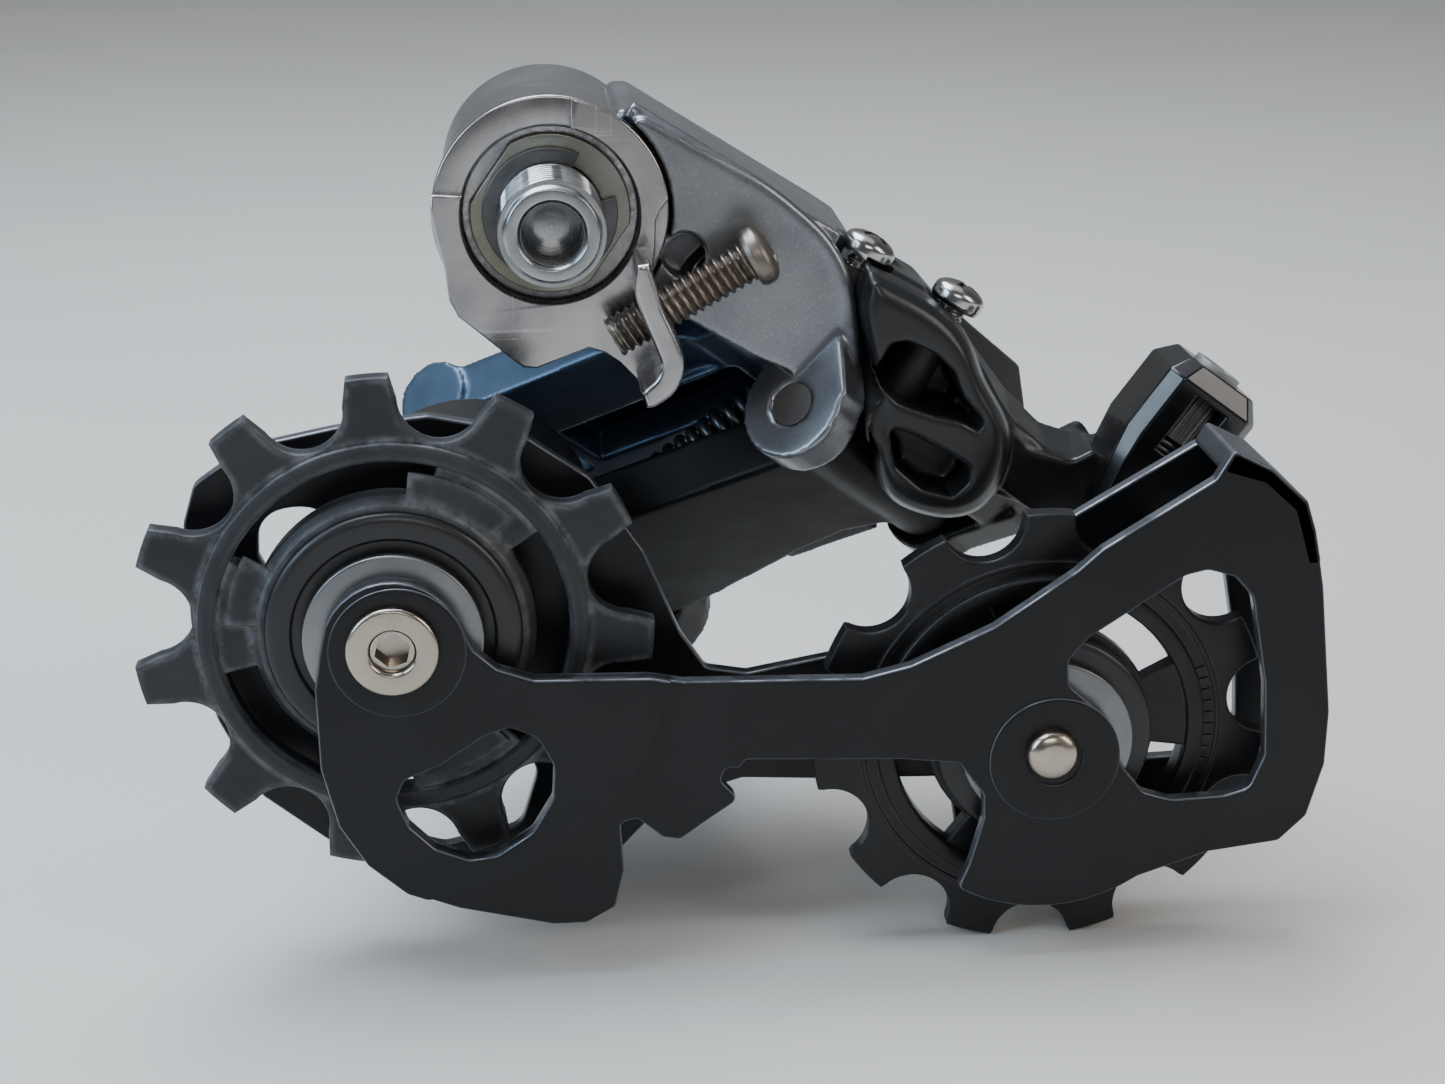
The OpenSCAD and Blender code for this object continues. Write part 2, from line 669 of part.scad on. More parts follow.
module inner_cage_plate() {
    color([0.05, 0.05, 0.06]) difference() {
        union() {
            slab(inner_out_y, inner_in_y) difference() {
                soften(0.7, 0.7) inner_plate_outline();
                soften(1.2, 0.1) guide_window();
                soften(1.2, 0.1) tension_window();
            }
            // bridge to the outer plate past the tension pulley
            slab(inner_out_y, outer_in_y) soften(0.5, 0.5) polygon([[61, -21.6], [62.2, -19.4],
                [66, -21.3], [69.6, -24.6], [70.6, -27.5], [71.4, -31], [69.9, -31], [68.9, -27.8],
                [68.2, -25.6], [65.2, -22.9]]);
        }
        rod_y(guide_at, inner_out_y - 1, inner_in_y + 1, pulley_bolt_r);
        rod_y(tension_at, inner_out_y - 1, inner_in_y + 1, pulley_bolt_r);
    }
}

module cage_stop_pin() {
    pin_at = p_at + 14.8 * [cos(200), sin(200)];
    color("silver") rod_y(pin_at, outer_out_y, outer_out_y + 3.4, 1.5);
}

module guide_bolt() {
    color("silver") difference() {
        union() {
            rod_y(guide_at, inner_out_y, outer_out_y, pulley_bolt_r);
            turned_y(guide_at) polygon([[0, inner_out_y - 1.5], [3.9, inner_out_y - 1.5],
                [4.3, inner_out_y - 1.1], [4.3, inner_out_y], [0, inner_out_y]]);
        }
        translate([guide_at[0], inner_out_y + 1.5, guide_at[1]]) rotate([90, 0, 0])
            cylinder(r = 1.75, h = 4, $fn = 6);
    }
}

module tension_bolt() {
    color("silver") difference() {
        union() {
            turned_y(tension_at) polygon([[0, inner_out_y - 1.9], [1.6, inner_out_y - 1.8],
                [2.2, inner_out_y - 1.4], [2.5, inner_out_y - 0.9], [2.5, outer_out_y],
                [4.3, outer_out_y], [4.3, outer_out_y + 1.2], [3.9, outer_out_y + 1.6],
                [0, outer_out_y + 1.6]]);
        }
        translate([tension_at[0], outer_out_y + 4, tension_at[1]]) rotate([90, 0, 0])
            cylinder(r = 1.75, h = 4.6, $fn = 6);
    }
}

module pulley_bushing(at) {
    color("goldenrod") tube_y(at, inner_in_y + cap_t, outer_in_y - cap_t, bush_r, pulley_bolt_r);
}

module guide_bushing() { pulley_bushing(guide_at); }

module tension_bushing() { pulley_bushing(tension_at); }

module dust_caps(at) {
    color("silver") {
        tube_y(at, inner_in_y, inner_in_y + cap_t, cap_r, pulley_bolt_r);
        tube_y(at, outer_in_y - cap_t, outer_in_y, cap_r, pulley_bolt_r);
    }
}

module guide_dust_caps() { dust_caps(guide_at); }

module tension_dust_caps() { dust_caps(tension_at); }

// Outline of a toothed ring: round gaps at the chain's pitch, opened out towards the tips
module toothed_outline(tip_r, gap_half, turn) {
    rotate(turn) difference() {
        circle(r = tip_r);
        for (i = [0:teeth - 1]) rotate((i + 0.5) * 360 / teeth) {
            translate([pitch_r, 0]) circle(r = roller_r);
            polygon([[pitch_r - 1, -roller_r * 0.96], [tip_r + 1, -gap_half - 0.6],
                [tip_r + 1, gap_half + 0.6], [pitch_r - 1, roller_r * 0.96]]);
        }
    }
}

// window = [inner radius, outer radius, half of its angle, angle of the first one]
module pulley(at, tip_r, gap_half, turn, boss_r, window) {
    translate([at[0], 0, at[1]]) difference() {
        union() {
            slab(pulley_y - tooth_t / 2, pulley_y + tooth_t / 2) difference() {
                toothed_outline(tip_r, gap_half, turn);
                for (i = [0:2]) rotate(window[3] + i * 120)
                    polygon(concat(arc([0, 0], window[1], -window[2], window[2]),
                        arc([0, 0], window[0], window[2], -window[2])));
            }
            rod_y([0, 0], pulley_y - hub_half, pulley_y + hub_half, boss_r);
            tube_y([0, 0], pulley_y - tooth_t / 2 - 0.5, pulley_y + tooth_t / 2 + 0.5,
                window[1] + 1.8, window[1] + 0.15);
        }
        rod_y([0, 0], pulley_y - 10, pulley_y + 10, bush_r + run_gap);
    }
}

module guide_pulley() {
    color([0.15, 0.15, 0.16])
        pulley(guide_at, guide_tip_r, 5.2, guide_tooth_turn, hub_r, [12.6, 16.4, 40, 114]);
}

module tension_pulley() {
    color([0.12, 0.12, 0.13])
        pulley(tension_at, tension_tip_r, 4.3, tension_tooth_turn, 10.6, [11.2, 14.4, 42, 70]);
}

mounting_bolt();
keyed_washer();
snap_ring();
stop_plate();
b_tension_screw();
b_knuckle();
b_bushing();
b_spring();
b_seal_ring();
link_bracket();
cable_stop();
link_pins_b();
limit_screw_high();
limit_screw_low();
limit_screw_sleeves();
barrel_adjuster();
adjuster_spring();
outer_link();
outer_link_bushings();
inner_link();
inner_link_bushings();
cable_anchor_bolt();
cable_anchor_washer();
return_spring();
p_knuckle();
link_pins_p();
p_bushing();
p_spring();
p_seal_ring();
p_axle();
p_axle_screw();
outer_cage_plate();
inner_cage_plate();
cage_stop_pin();
guide_bolt();
guide_bushing();
guide_dust_caps();
guide_pulley();
tension_bolt();
tension_bushing();
tension_dust_caps();
tension_pulley();
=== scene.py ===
import json
import math

import bmesh
import bpy
from mathutils import Matrix, Vector


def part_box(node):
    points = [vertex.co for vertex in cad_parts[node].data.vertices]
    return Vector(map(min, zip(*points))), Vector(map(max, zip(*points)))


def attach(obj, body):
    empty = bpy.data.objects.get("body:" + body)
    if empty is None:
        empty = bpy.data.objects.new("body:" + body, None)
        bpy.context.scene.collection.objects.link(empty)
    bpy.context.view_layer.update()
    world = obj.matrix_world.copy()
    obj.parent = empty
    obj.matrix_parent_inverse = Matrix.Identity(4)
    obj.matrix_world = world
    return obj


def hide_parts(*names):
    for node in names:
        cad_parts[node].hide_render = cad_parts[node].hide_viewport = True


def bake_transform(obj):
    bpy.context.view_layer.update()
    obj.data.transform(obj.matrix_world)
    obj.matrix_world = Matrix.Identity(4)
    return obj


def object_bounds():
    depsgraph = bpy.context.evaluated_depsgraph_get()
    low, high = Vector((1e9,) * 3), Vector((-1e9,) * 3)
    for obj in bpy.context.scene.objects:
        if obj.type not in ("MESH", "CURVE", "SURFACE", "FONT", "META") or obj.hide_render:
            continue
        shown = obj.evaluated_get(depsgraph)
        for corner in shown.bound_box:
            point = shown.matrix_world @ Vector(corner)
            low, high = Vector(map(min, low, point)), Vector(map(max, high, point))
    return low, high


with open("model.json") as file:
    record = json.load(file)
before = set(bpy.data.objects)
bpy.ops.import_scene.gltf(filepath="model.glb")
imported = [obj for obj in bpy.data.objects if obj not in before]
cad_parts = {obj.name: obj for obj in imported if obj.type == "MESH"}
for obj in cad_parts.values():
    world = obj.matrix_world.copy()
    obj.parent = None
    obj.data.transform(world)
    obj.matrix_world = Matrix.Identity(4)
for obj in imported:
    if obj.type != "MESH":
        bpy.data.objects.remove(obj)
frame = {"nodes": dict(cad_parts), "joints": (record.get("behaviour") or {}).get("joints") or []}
cad_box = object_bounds()

MM = 0.001
joints = {j["name"]: j for j in frame["joints"]}


# ---- Places, all taken from the frame and kept in millimetres ----

def middle(node):
    low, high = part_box(node)
    return (low + high) / 2 / MM


def span_y(node):
    low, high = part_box(node)
    return low.y / MM, high.y / MM


GUIDE = middle("guide_bushing")
TENSION = middle("tension_bushing")
P_PIVOT = middle("p_bushing")
PLATE_THICK = 1.6
INNER_BACK = span_y("guide_dust_caps")[0]
INNER_FACE = INNER_BACK - PLATE_THICK
OUTER_FACE, OUTER_BACK = span_y("outer_cage_plate")


def point(joint):
    return Vector(joints[joint]["pos_m"]) / MM


ALONG = (point("p_knuckle_swing") - point("inner_link_swing")).normalized()
PINS = -Vector(joints["inner_link_swing"]["axis"]).normalized()
LINKS = Matrix.Translation(point("inner_link_swing")) @ Matrix(
    (ALONG, PINS.cross(ALONG), PINS)).transposed().to_4x4()
LINK_LEN = (point("p_knuckle_swing") - point("inner_link_swing")).length
OUTER_PIN = LINKS.inverted() @ point("outer_link_swing")


def pointing(at, axis):
    """A frame at a place, with its Z along an axis"""
    turn = Vector(axis).to_track_quat("Z", "Y").to_matrix().to_4x4()
    return Matrix.Translation(Vector(at)) @ turn


INBOARD = Matrix.Rotation(math.radians(90), 4, "X")

# Sizes that more than one piece needs, or that no node's box gives
LIMIT_SCREW_LEN = 12.6
B_SCREW_LEN = 17.2
INNER_LINK_LOW, INNER_LINK_HIGH = 4.3, 28.0
OUTER_LINK_LOW = -6.0
TOOTH_HALF = 1.1


def facing(at):
    """A frame whose Z looks inboard and whose X and Y are the row's X and Z"""
    return Matrix.Translation(Vector(at)) @ INBOARD


# ---- Outlines ----

def arc(centre, radius, start, end, steps=24):
    """Points of an arc, in degrees"""
    turns = [math.radians(start + (end - start) * i / steps) for i in range(steps + 1)]
    return [(centre[0] + radius * math.cos(t), centre[1] + radius * math.sin(t)) for t in turns]


def ring(radius, steps=64, centre=(0, 0)):
    return arc(centre, radius, 0, 360 * (steps - 1) / steps, steps - 1)


def flowing(points, steps=6):
    """A smooth path through points"""
    points = [Vector(p) for p in points]
    ends = [2 * points[0] - points[1]] + points + [2 * points[-1] - points[-2]]
    path = []
    for a, b, c, d in zip(ends, ends[1:], ends[2:], ends[3:]):
        for i in range(steps):
            t = i / steps
            path.append(0.5 * (2 * b + (c - a) * t + (2 * a - 5 * b + 4 * c - d) * t * t
                               + (3 * b - a - 3 * c + d) * t ** 3))
    return path + [points[-1]]


def ribbon(points, widths):
    """The outline of a band that follows a smooth path, with half widths at its points"""
    path = flowing([(*p, w) for p, w in zip(points, widths)])
    sides = ([], [])
    for i, p in enumerate(path):
        way = (path[min(i + 1, len(path) - 1)] - path[max(i - 1, 0)]).xy.normalized()
        out = Vector((-way.y, way.x)) * p.z
        sides[0].append(p.xy + out)
        sides[1].append(p.xy - out)
    return sides[0] + sides[1][::-1]


# ---- Mesh building ----

def to_object(name, bm):
    mesh = bpy.data.meshes.new(name)
    bm.to_mesh(mesh)
    bm.free()
    obj = bpy.data.objects.new(name, mesh)
    bpy.context.scene.collection.objects.link(obj)
    return obj


def from_grid(name, rows, matrix, close_rows=False):
    """A skin through rows of points, each row a closed ring; millimetres in, metres out"""
    bm = bmesh.new()
    made = [[bm.verts.new((matrix @ Vector(p)) * MM) for p in row] for row in rows]
    count = len(rows[0])
    pairs = list(zip(made, made[1:] + ([made[0]] if close_rows else [])))
    for a, b in pairs:
        for i in range(count):
            j = (i + 1) % count
            bm.faces.new((a[i], a[j], b[j], b[i]))
    if not close_rows:
        bm.faces.new(made[0])
        bm.faces.new(made[-1])
    bmesh.ops.remove_doubles(bm, verts=bm.verts, dist=1e-7)
    bmesh.ops.recalc_face_normals(bm, faces=bm.faces)
    return to_object(name, bm)


def lathe(name, profile, matrix, closed=False):
    """Turns a profile of (radius, height) about the frame's Z"""
    steps = 96
    turns = [2 * math.pi * i / steps for i in range(steps)]
    rows = [[(r * math.cos(t), r * math.sin(t), h) for t in turns] for r, h in profile]
    return from_grid(name, rows, matrix, close_rows=closed)


def prism(name, outline, low, high, matrix):
    """A solid with a flat outline, from one height to another"""
    rows = [[(x, y, h) for x, y in outline] for h in (low, high)]
    return from_grid(name, rows, matrix)


def rod(name, radius, low, high, matrix, steps=48):
    return prism(name, ring(radius, steps), low, high, matrix)


def threaded(name, radius, depth, pitch, low, high, matrix, steps=40):
    """A cylinder with a helical thread that runs out at both ends"""
    count = int((high - low) / pitch * 10)
    rows = []
    for k in range(count + 1):
        h = low + (high - low) * k / count
        fade = min(1.0, (h - low) / pitch + 0.15, (high - h) / pitch + 0.15)
        row = []
        for i in range(steps):
            phase = (h / pitch - i / steps) % 1.0
            cut = depth * fade * max(0.0, abs(2 * phase - 1) * 1.25 - 0.2)
            turn = 2 * math.pi * i / steps
            row.append(((radius - cut) * math.cos(turn), (radius - cut) * math.sin(turn), h))
        rows.append(row)
    return from_grid(name, rows, matrix)


def wire(name, path, radius, matrix):
    """A round wire along a path of points"""
    sides = 10
    points = [matrix @ Vector(p) for p in path]
    rows = []
    side = None
    for i, p in enumerate(points):
        way = (points[min(i + 1, len(points) - 1)] - points[max(i - 1, 0)]).normalized()
        side = way.orthogonal() if side is None else side - side.dot(way) * way
        side.normalize()
        up = way.cross(side)
        turns = [2 * math.pi * k / sides for k in range(sides)]
        rows.append([p + radius * (math.cos(t) * side + math.sin(t) * up) for t in turns])
    return from_grid(name, rows, Matrix.Identity(4))


def helix(radius, turns, pitch):
    per_turn = 28
    count = int(turns * per_turn)
    return [(radius * math.cos(2 * math.pi * i / per_turn),
             radius * math.sin(2 * math.pi * i / per_turn),
             pitch * i / per_turn) for i in range(count + 1)]


def cad(node, name):
    """A copy of a CAD node's mesh, free to be reshaped, which stands for that node"""
    source = frame["nodes"][node]
    bm = bmesh.new()
    bm.from_mesh(source.data)
    bmesh.ops.remove_doubles(bm, verts=bm.verts, dist=2e-6)
    return to_object(name, bm)


def chained(edges):
    """Closed loops of points from loose edges"""
    left = dict.fromkeys(edges)
    loops = []
    while left:
        edge = left.popitem()[0]
        first, last = edge.verts
        loop = [first, last]
        while True:
            step = next((e for e in loop[-1].link_edges if e in left), None)
            if step is None:
                break
            del left[step]
            loop.append(step.other_vert(loop[-1]))
        if loop[-1] is loop[0] and len(loop) > 8:
            loops.append([v.co.xy / MM for v in loop[:-1]])
    return loops


def straightened(loop):
    """Drops the points of a loop at which it hardly turns"""
    least = math.radians(1)
    kept = []
    for i, p in enumerate(loop):
        before, after = p - (kept[-1] if kept else loop[i - 1]), loop[(i + 1) % len(loop)] - p
        if before.length > 0.02 and abs(before.angle_signed(after, 0)) > least:
            kept.append(p)
    return kept


def section(node, height, matrix=INBOARD):
    """The outlines where a CAD node crosses one height of a frame, the longest first"""
    bm = bmesh.new()
    bm.from_mesh(frame["nodes"][node].data)
    bmesh.ops.remove_doubles(bm, verts=bm.verts, dist=2e-6)
    to_mm = Matrix.Scale(1 / MM, 4)
    bm.transform(Matrix.Scale(MM, 4) @ matrix.inverted() @ to_mm)
    geometry = bm.verts[:] + bm.edges[:] + bm.faces[:]
    made = bmesh.ops.bisect_plane(bm, geom=geometry, dist=1e-7, plane_co=(0, 0, height * MM),
                                  plane_no=(0, 0, 1))["geom_cut"]
    edges = [e for e in made if isinstance(e, bmesh.types.BMEdge)]
    loops = [straightened(loop) for loop in chained(edges)]
    bm.free()
    return sorted(loops, key=lambda l: -sum((b - a).length for a, b in zip(l, l[1:])))


def sheet(name, loops, low, high, edge=0.3, matrix=INBOARD, segments=3):
    """A flat plate with holes and rounded edges, from one height of a frame to another"""
    curve = bpy.data.curves.new(name, "CURVE")
    curve.dimensions = "2D"
    curve.fill_mode = "BOTH"
    curve.extrude = ((high - low) / 2 - edge) * MM
    curve.bevel_depth = edge * MM
    curve.bevel_resolution = segments
    curve.offset = -edge * MM
    for loop in loops:
        spline = curve.splines.new("POLY")
        spline.points.add(len(loop) - 1)
        for target, p in zip(spline.points, loop):
            target.co = (p[0] * MM, p[1] * MM, 0, 1)
        spline.use_cyclic_u = True
    drawn = bpy.data.objects.new(name, curve)
    bpy.context.scene.collection.objects.link(drawn)
    bm = bmesh.new()
    bm.from_mesh(bpy.data.meshes.new_from_object(drawn))
    bpy.data.objects.remove(drawn)
    bmesh.ops.remove_doubles(bm, verts=bm.verts, dist=1e-7)
    bm.transform(Matrix.Scale(MM, 4) @ matrix @ Matrix.Translation((0, 0, (low + high) / 2))
                 @ Matrix.Scale(1 / MM, 4))
    bmesh.ops.recalc_face_normals(bm, faces=bm.faces)
    return weighted(smooth_shaded(to_object(name, bm), 35))


def joined(name, parts):
    bm = bmesh.new()
    for part in parts:
        bm.from_mesh(part.data)
        bpy.data.objects.remove(part)
    return to_object(name, bm)


def applied(obj):
    """Bakes the modifiers of an object into its mesh"""
    graph = bpy.context.evaluated_depsgraph_get()
    graph.update()
    mesh = bpy.data.meshes.new_from_object(obj.evaluated_get(graph))
    obj.modifiers.clear()
    obj.data = mesh
    return obj


def combine(obj, other, operation):
    mod = obj.modifiers.new("cut", "BOOLEAN")
    mod.operation = operation
    mod.solver = "EXACT"
    mod.object = other
    applied(obj)
    bpy.data.objects.remove(other)
    return obj


def cut(obj, *cutters):
    for cutter in cutters:
        combine(obj, cutter, "DIFFERENCE")
    return obj


def smooth_shaded(obj, angle=40):
    bm = bmesh.new()
    bm.from_mesh(obj.data)
    limit = math.radians(angle)
    for f in bm.faces:
        f.smooth = True
    for e in bm.edges:
        e.smooth = not (len(e.link_faces) == 2 and e.calc_face_angle(0) > limit)
    bm.to_mesh(obj.data)
    bm.free()
    return obj


def weighted(obj):
    """Shades flat faces flat beside rounded edges"""
    normals = obj.modifiers.new("normals", "WEIGHTED_NORMAL")
    normals.weight = 80
    normals.keep_sharp = True
    return applied(obj)


def crisp(obj, width):
    """Rounds every sharp edge by a small radius, as machined or moulded parts have"""
    bevel = obj.modifiers.new("edges", "BEVEL")
    bevel.width = width * MM
    bevel.segments = 3
    bevel.limit_method = "ANGLE"
    bevel.angle_limit = math.radians(30)
    bevel.use_clamp_overlap = False
    return weighted(smooth_shaded(applied(obj), 50))


def cast(obj, voxel=0.3, rounds=6):
    """Melts everything in an object into one skin with soft corners, as a casting has"""
    remesh = obj.modifiers.new("skin", "REMESH")
    remesh.mode = "VOXEL"
    remesh.voxel_size = voxel * MM
    smooth = obj.modifiers.new("soft", "SMOOTH")
    smooth.factor = 0.5
    smooth.iterations = rounds
    applied(obj)
    for f in obj.data.polygons:
        f.use_smooth = True
    return obj


def place(obj, body, slot, material, *stands_for):
    obj.data.materials.clear()
    obj.data.materials.append(material)
    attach(obj, body)
    if stands_for:
        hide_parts(*stands_for)
    return obj


# ---- Materials ----

class Nodes:
    """Short calls for building a node tree"""

    def __init__(self, name):
        self.material = bpy.data.materials.new(name)
        self.material.use_nodes = True
        self.tree = self.material.node_tree
        self.shader = self.tree.nodes["Principled BSDF"]
        self.object = self.add("ShaderNodeTexCoord").outputs["Object"]

    def add(self, kind, **settings):
        node = self.tree.nodes.new(kind)
        for key, value in settings.items():
            setattr(node, key, value)
        return node

    def put(self, socket, value):
        if isinstance(value, bpy.types.NodeSocket):
            self.tree.links.new(value, socket)
        elif isinstance(value, tuple) and len(value) == 3 and len(socket.default_value) == 4:
            socket.default_value = (*value, 1)
        else:
            socket.default_value = value

    def noise(self, scale, detail=3, rough=0.5, stretch=None):
        node = self.add("ShaderNodeTexNoise")
        source = self.object
        if stretch:
            mapping = self.add("ShaderNodeMapping")
            mapping.inputs["Scale"].default_value = stretch[0]
            mapping.inputs["Rotation"].default_value = stretch[1]
            self.put(mapping.inputs["Vector"], source)
            source = mapping.outputs[0]
        self.put(node.inputs["Vector"], source)
        node.inputs["Scale"].default_value = scale
        node.inputs["Detail"].default_value = detail
        node.inputs["Roughness"].default_value = rough
        return node.outputs["Fac"]

    def ramp(self, value, low, high, out_low=0.0, out_high=1.0):
        node = self.add("ShaderNodeMapRange")
        for key, v in zip(("Value", "From Min", "From Max", "To Min", "To Max"),
                          (value, low, high, out_low, out_high)):
            self.put(node.inputs[key], v)
        return node.outputs["Result"]

    def maths(self, operation, a, b):
        node = self.add("ShaderNodeMath", operation=operation)
        self.put(node.inputs[0], a)
        self.put(node.inputs[1], b)
        return node.outputs[0]

    def mix(self, factor, a, b):
        node = self.add("ShaderNodeMix", data_type="RGBA")
        self.put(node.inputs["Factor"], factor)
        self.put(node.inputs["A"], a)
        self.put(node.inputs["B"], b)
        return node.outputs["Result"]

    def edges(self, radius):
        """1 on the edges of a shape, 0 away from them"""
        bevel = self.add("ShaderNodeBevel", samples=6)
        bevel.inputs["Radius"].default_value = radius * MM
        dot = self.add("ShaderNodeVectorMath", operation="DOT_PRODUCT")
        self.put(dot.inputs[0], bevel.outputs[0])
        self.put(dot.inputs[1], self.add("ShaderNodeNewGeometry").outputs["Normal"])
        return self.ramp(dot.outputs["Value"], 0.995, 0.9)

    def shaded_hollows(self, distance):
        """1 in corners and hollows that light hardly reaches, found by ambient occlusion, 0 on open
        faces; it places grime and painted shade
        """
        node = self.add("ShaderNodeAmbientOcclusion", samples=6)
        node.inputs["Distance"].default_value = distance * MM
        return self.ramp(node.outputs["AO"], 0.75, 0.25)


def finish(name, base, second, metallic=0.0, rough=(0.35, 0.5), grain=2500, bump=0.05, wear=None,
           grime_and_shade=None, scratches=0.0, brushed=None, coat=0.0, specular=0.5, flakes=0.0,
           bare_edge=None):
    """One finish: a base mottled with a second colour, grain, worn edges, grime with painted shade
    in the hollows, and scratches
    """
    blotch = 90
    n = Nodes(name)
    colour = n.mix(n.ramp(n.noise(blotch, 4, 0.6), 0.35, 0.65), base, second)
    fine = n.noise(grain, 2, 0.6)
    roughness = n.ramp(n.noise(blotch * 2.3, 5, 0.65), 0.3, 0.7, rough[0], rough[1])
    height = fine
    if brushed:
        lines = n.noise(60, 2, 0.5, stretch=brushed)
        height = n.maths("ADD", fine, n.maths("MULTIPLY", lines, 1.5))
        roughness = n.maths("ADD", roughness, n.ramp(lines, 0.3, 0.7, -0.06, 0.06))
    if flakes:
        spots = n.ramp(n.noise(5200, 1, 0.3), 0.6, 0.7)
        colour = n.mix(n.maths("MULTIPLY", spots, flakes), colour, (0.8, 0.85, 0.9))
    if scratches:
        for stretch in (((8, 8, 900), (0.3, 0.5, 0.1)), ((700, 8, 8), (0.2, -0.4, 0.7))):
            marks = n.ramp(n.noise(3, 1, 0.3, stretch=stretch), 0.70, 0.74)
            patch = n.ramp(n.noise(70, 2), 0.5, 0.62)
            marks = n.maths("MULTIPLY", n.maths("MULTIPLY", marks, patch), scratches)
            light = tuple(min(1.0, c * 2.5 + 0.12) for c in base)
            colour = n.mix(marks, colour, light)
            roughness = n.maths("ADD", roughness, n.maths("MULTIPLY", marks, 0.15))
    if wear:
        worn_colour, radius, amount = wear
        patchy = n.ramp(n.noise(420, 5, 0.7), 0.4, 0.62, 0.15, 1.0)
        worn = n.maths("MULTIPLY", n.maths("MULTIPLY", n.edges(radius), patchy), amount)
        colour = n.mix(worn, colour, worn_colour)
    if bare_edge:
        across = n.add("ShaderNodeSeparateXYZ")
        n.put(across.inputs[0], n.add("ShaderNodeTexCoord").outputs["Normal"])
        side = n.ramp(n.maths("ABSOLUTE", across.outputs["Y"], 0.0), 0.93, 0.6)
        rubbed = n.ramp(n.noise(160, 4, 0.6), 0.36, 0.5, 0.25, 1.0)
        bare = n.maths("MULTIPLY", side, rubbed)
        colour = n.mix(bare, colour, bare_edge)
        n.put(n.shader.inputs["Metallic"], n.ramp(bare, 0.2, 0.9, metallic, 0.95))
    # Grime in the occluded hollows: real dirt, and where its colour is darker than the base, also
    # painted shade in corners and recesses.
    if grime_and_shade:
        grime_shade_colour, distance, amount = grime_and_shade
        grains = n.ramp(n.noise(1400, 6, 0.8), 0.40, 0.62)
        dirt_and_shade = n.maths("MULTIPLY", n.maths("MULTIPLY", n.shaded_hollows(distance), grains), amount)
        colour = n.mix(dirt_and_shade, colour, grime_shade_colour)
        roughness = n.maths("ADD", roughness, n.maths("MULTIPLY", dirt_and_shade, 0.4))
        height = n.maths("ADD", height, n.maths("MULTIPLY", dirt_and_shade, 2.0))
    bumps = n.add("ShaderNodeBump")
    bumps.inputs["Strength"].default_value = bump
    bumps.inputs["Distance"].default_value = 0.1 * MM
    n.put(bumps.inputs["Height"], height)
    n.put(n.shader.inputs["Base Color"], colour)
    n.put(n.shader.inputs["Roughness"], roughness)
    n.put(n.shader.inputs["Normal"], bumps.outputs[0])
    if not bare_edge:
        n.shader.inputs["Metallic"].default_value = metallic
    n.shader.inputs["Coat Weight"].default_value = coat
    n.shader.inputs["Coat Roughness"].default_value = 0.12
    n.shader.inputs["Specular IOR Level"].default_value = specular
    return n.material


# The grime colours below go into occluded hollows: dirt, and on the lighter parts also painted
# shade.
BROWN = (0.09, 0.07, 0.045)
ROUND_Y = ((2, 400, 2), (0, 0, 0))

guide_polymer = finish("guide_polymer", (0.012, 0.0135, 0.016), (0.024, 0.026, 0.029),
                       rough=(0.40, 0.58), bump=0.35, wear=((0.16, 0.17, 0.18), 1.3, 0.9),
                       specular=0.4, grime_and_shade=(BROWN, 2.0, 0.45))
tension_polymer = finish("tension_polymer", (0.005, 0.005, 0.006), (0.010, 0.010, 0.011),
                         rough=(0.32, 0.46), bump=0.2, wear=((0.06, 0.06, 0.065), 0.5, 0.5),
                         specular=0.35, grime_and_shade=(BROWN, 2.0, 0.25))
plate_black = finish("plate_black", (0.0042, 0.0045, 0.0055), (0.0065, 0.007, 0.0085),
                     rough=(0.34, 0.44), grain=5200, bump=0.12, specular=0.3,
                     bare_edge=(0.20, 0.21, 0.23))
hub_black = finish("hub_black", (0.008, 0.008, 0.009), (0.014, 0.014, 0.015), rough=(0.28, 0.42),
                   bump=0.06, grime_and_shade=(BROWN, 1.5, 0.3))
polished_steel = finish("polished_steel", (0.47, 0.455, 0.45), (0.33, 0.32, 0.325), metallic=1.0,
                        rough=(0.16, 0.32), grain=3200, bump=0.05, scratches=0.25,
                        wear=((0.75, 0.76, 0.78), 0.3, 0.6), grime_and_shade=((0.10, 0.085, 0.06), 1.6, 0.9))
turned_steel = finish("turned_steel", (0.42, 0.43, 0.44), (0.30, 0.31, 0.32), metallic=1.0,
                      rough=(0.2, 0.36), brushed=ROUND_Y, bump=0.05, grime_and_shade=(BROWN, 1.0, 0.7))
zinc_steel = finish("zinc_steel", (0.32, 0.33, 0.30), (0.22, 0.22, 0.17), metallic=1.0,
                    rough=(0.3, 0.5), bump=0.1, grime_and_shade=(BROWN, 1.5, 0.9))
dark_steel = finish("dark_steel", (0.16, 0.16, 0.165), (0.09, 0.09, 0.09), metallic=1.0,
                    rough=(0.3, 0.5), bump=0.1, grime_and_shade=(BROWN, 1.5, 0.6))
bright_screw = finish("bright_screw", (0.56, 0.56, 0.56), (0.38, 0.36, 0.34), metallic=1.0,
                      rough=(0.12, 0.26), bump=0.04, grime_and_shade=(BROWN, 0.9, 0.8))
thread_steel = finish("thread_steel", (0.26, 0.23, 0.20), (0.15, 0.12, 0.095), metallic=1.0,
                      rough=(0.28, 0.45), bump=0.08, grime_and_shade=(BROWN, 0.8, 0.5))
pearl_grey = finish("pearl_grey", (0.19, 0.20, 0.22), (0.26, 0.27, 0.29), metallic=0.9,
                    rough=(0.26, 0.38), grain=4200, bump=0.14, coat=0.35, flakes=0.10,
                    wear=((0.35, 0.35, 0.37), 0.3, 0.3), grime_and_shade=((0.03, 0.027, 0.024), 2.5, 0.8))
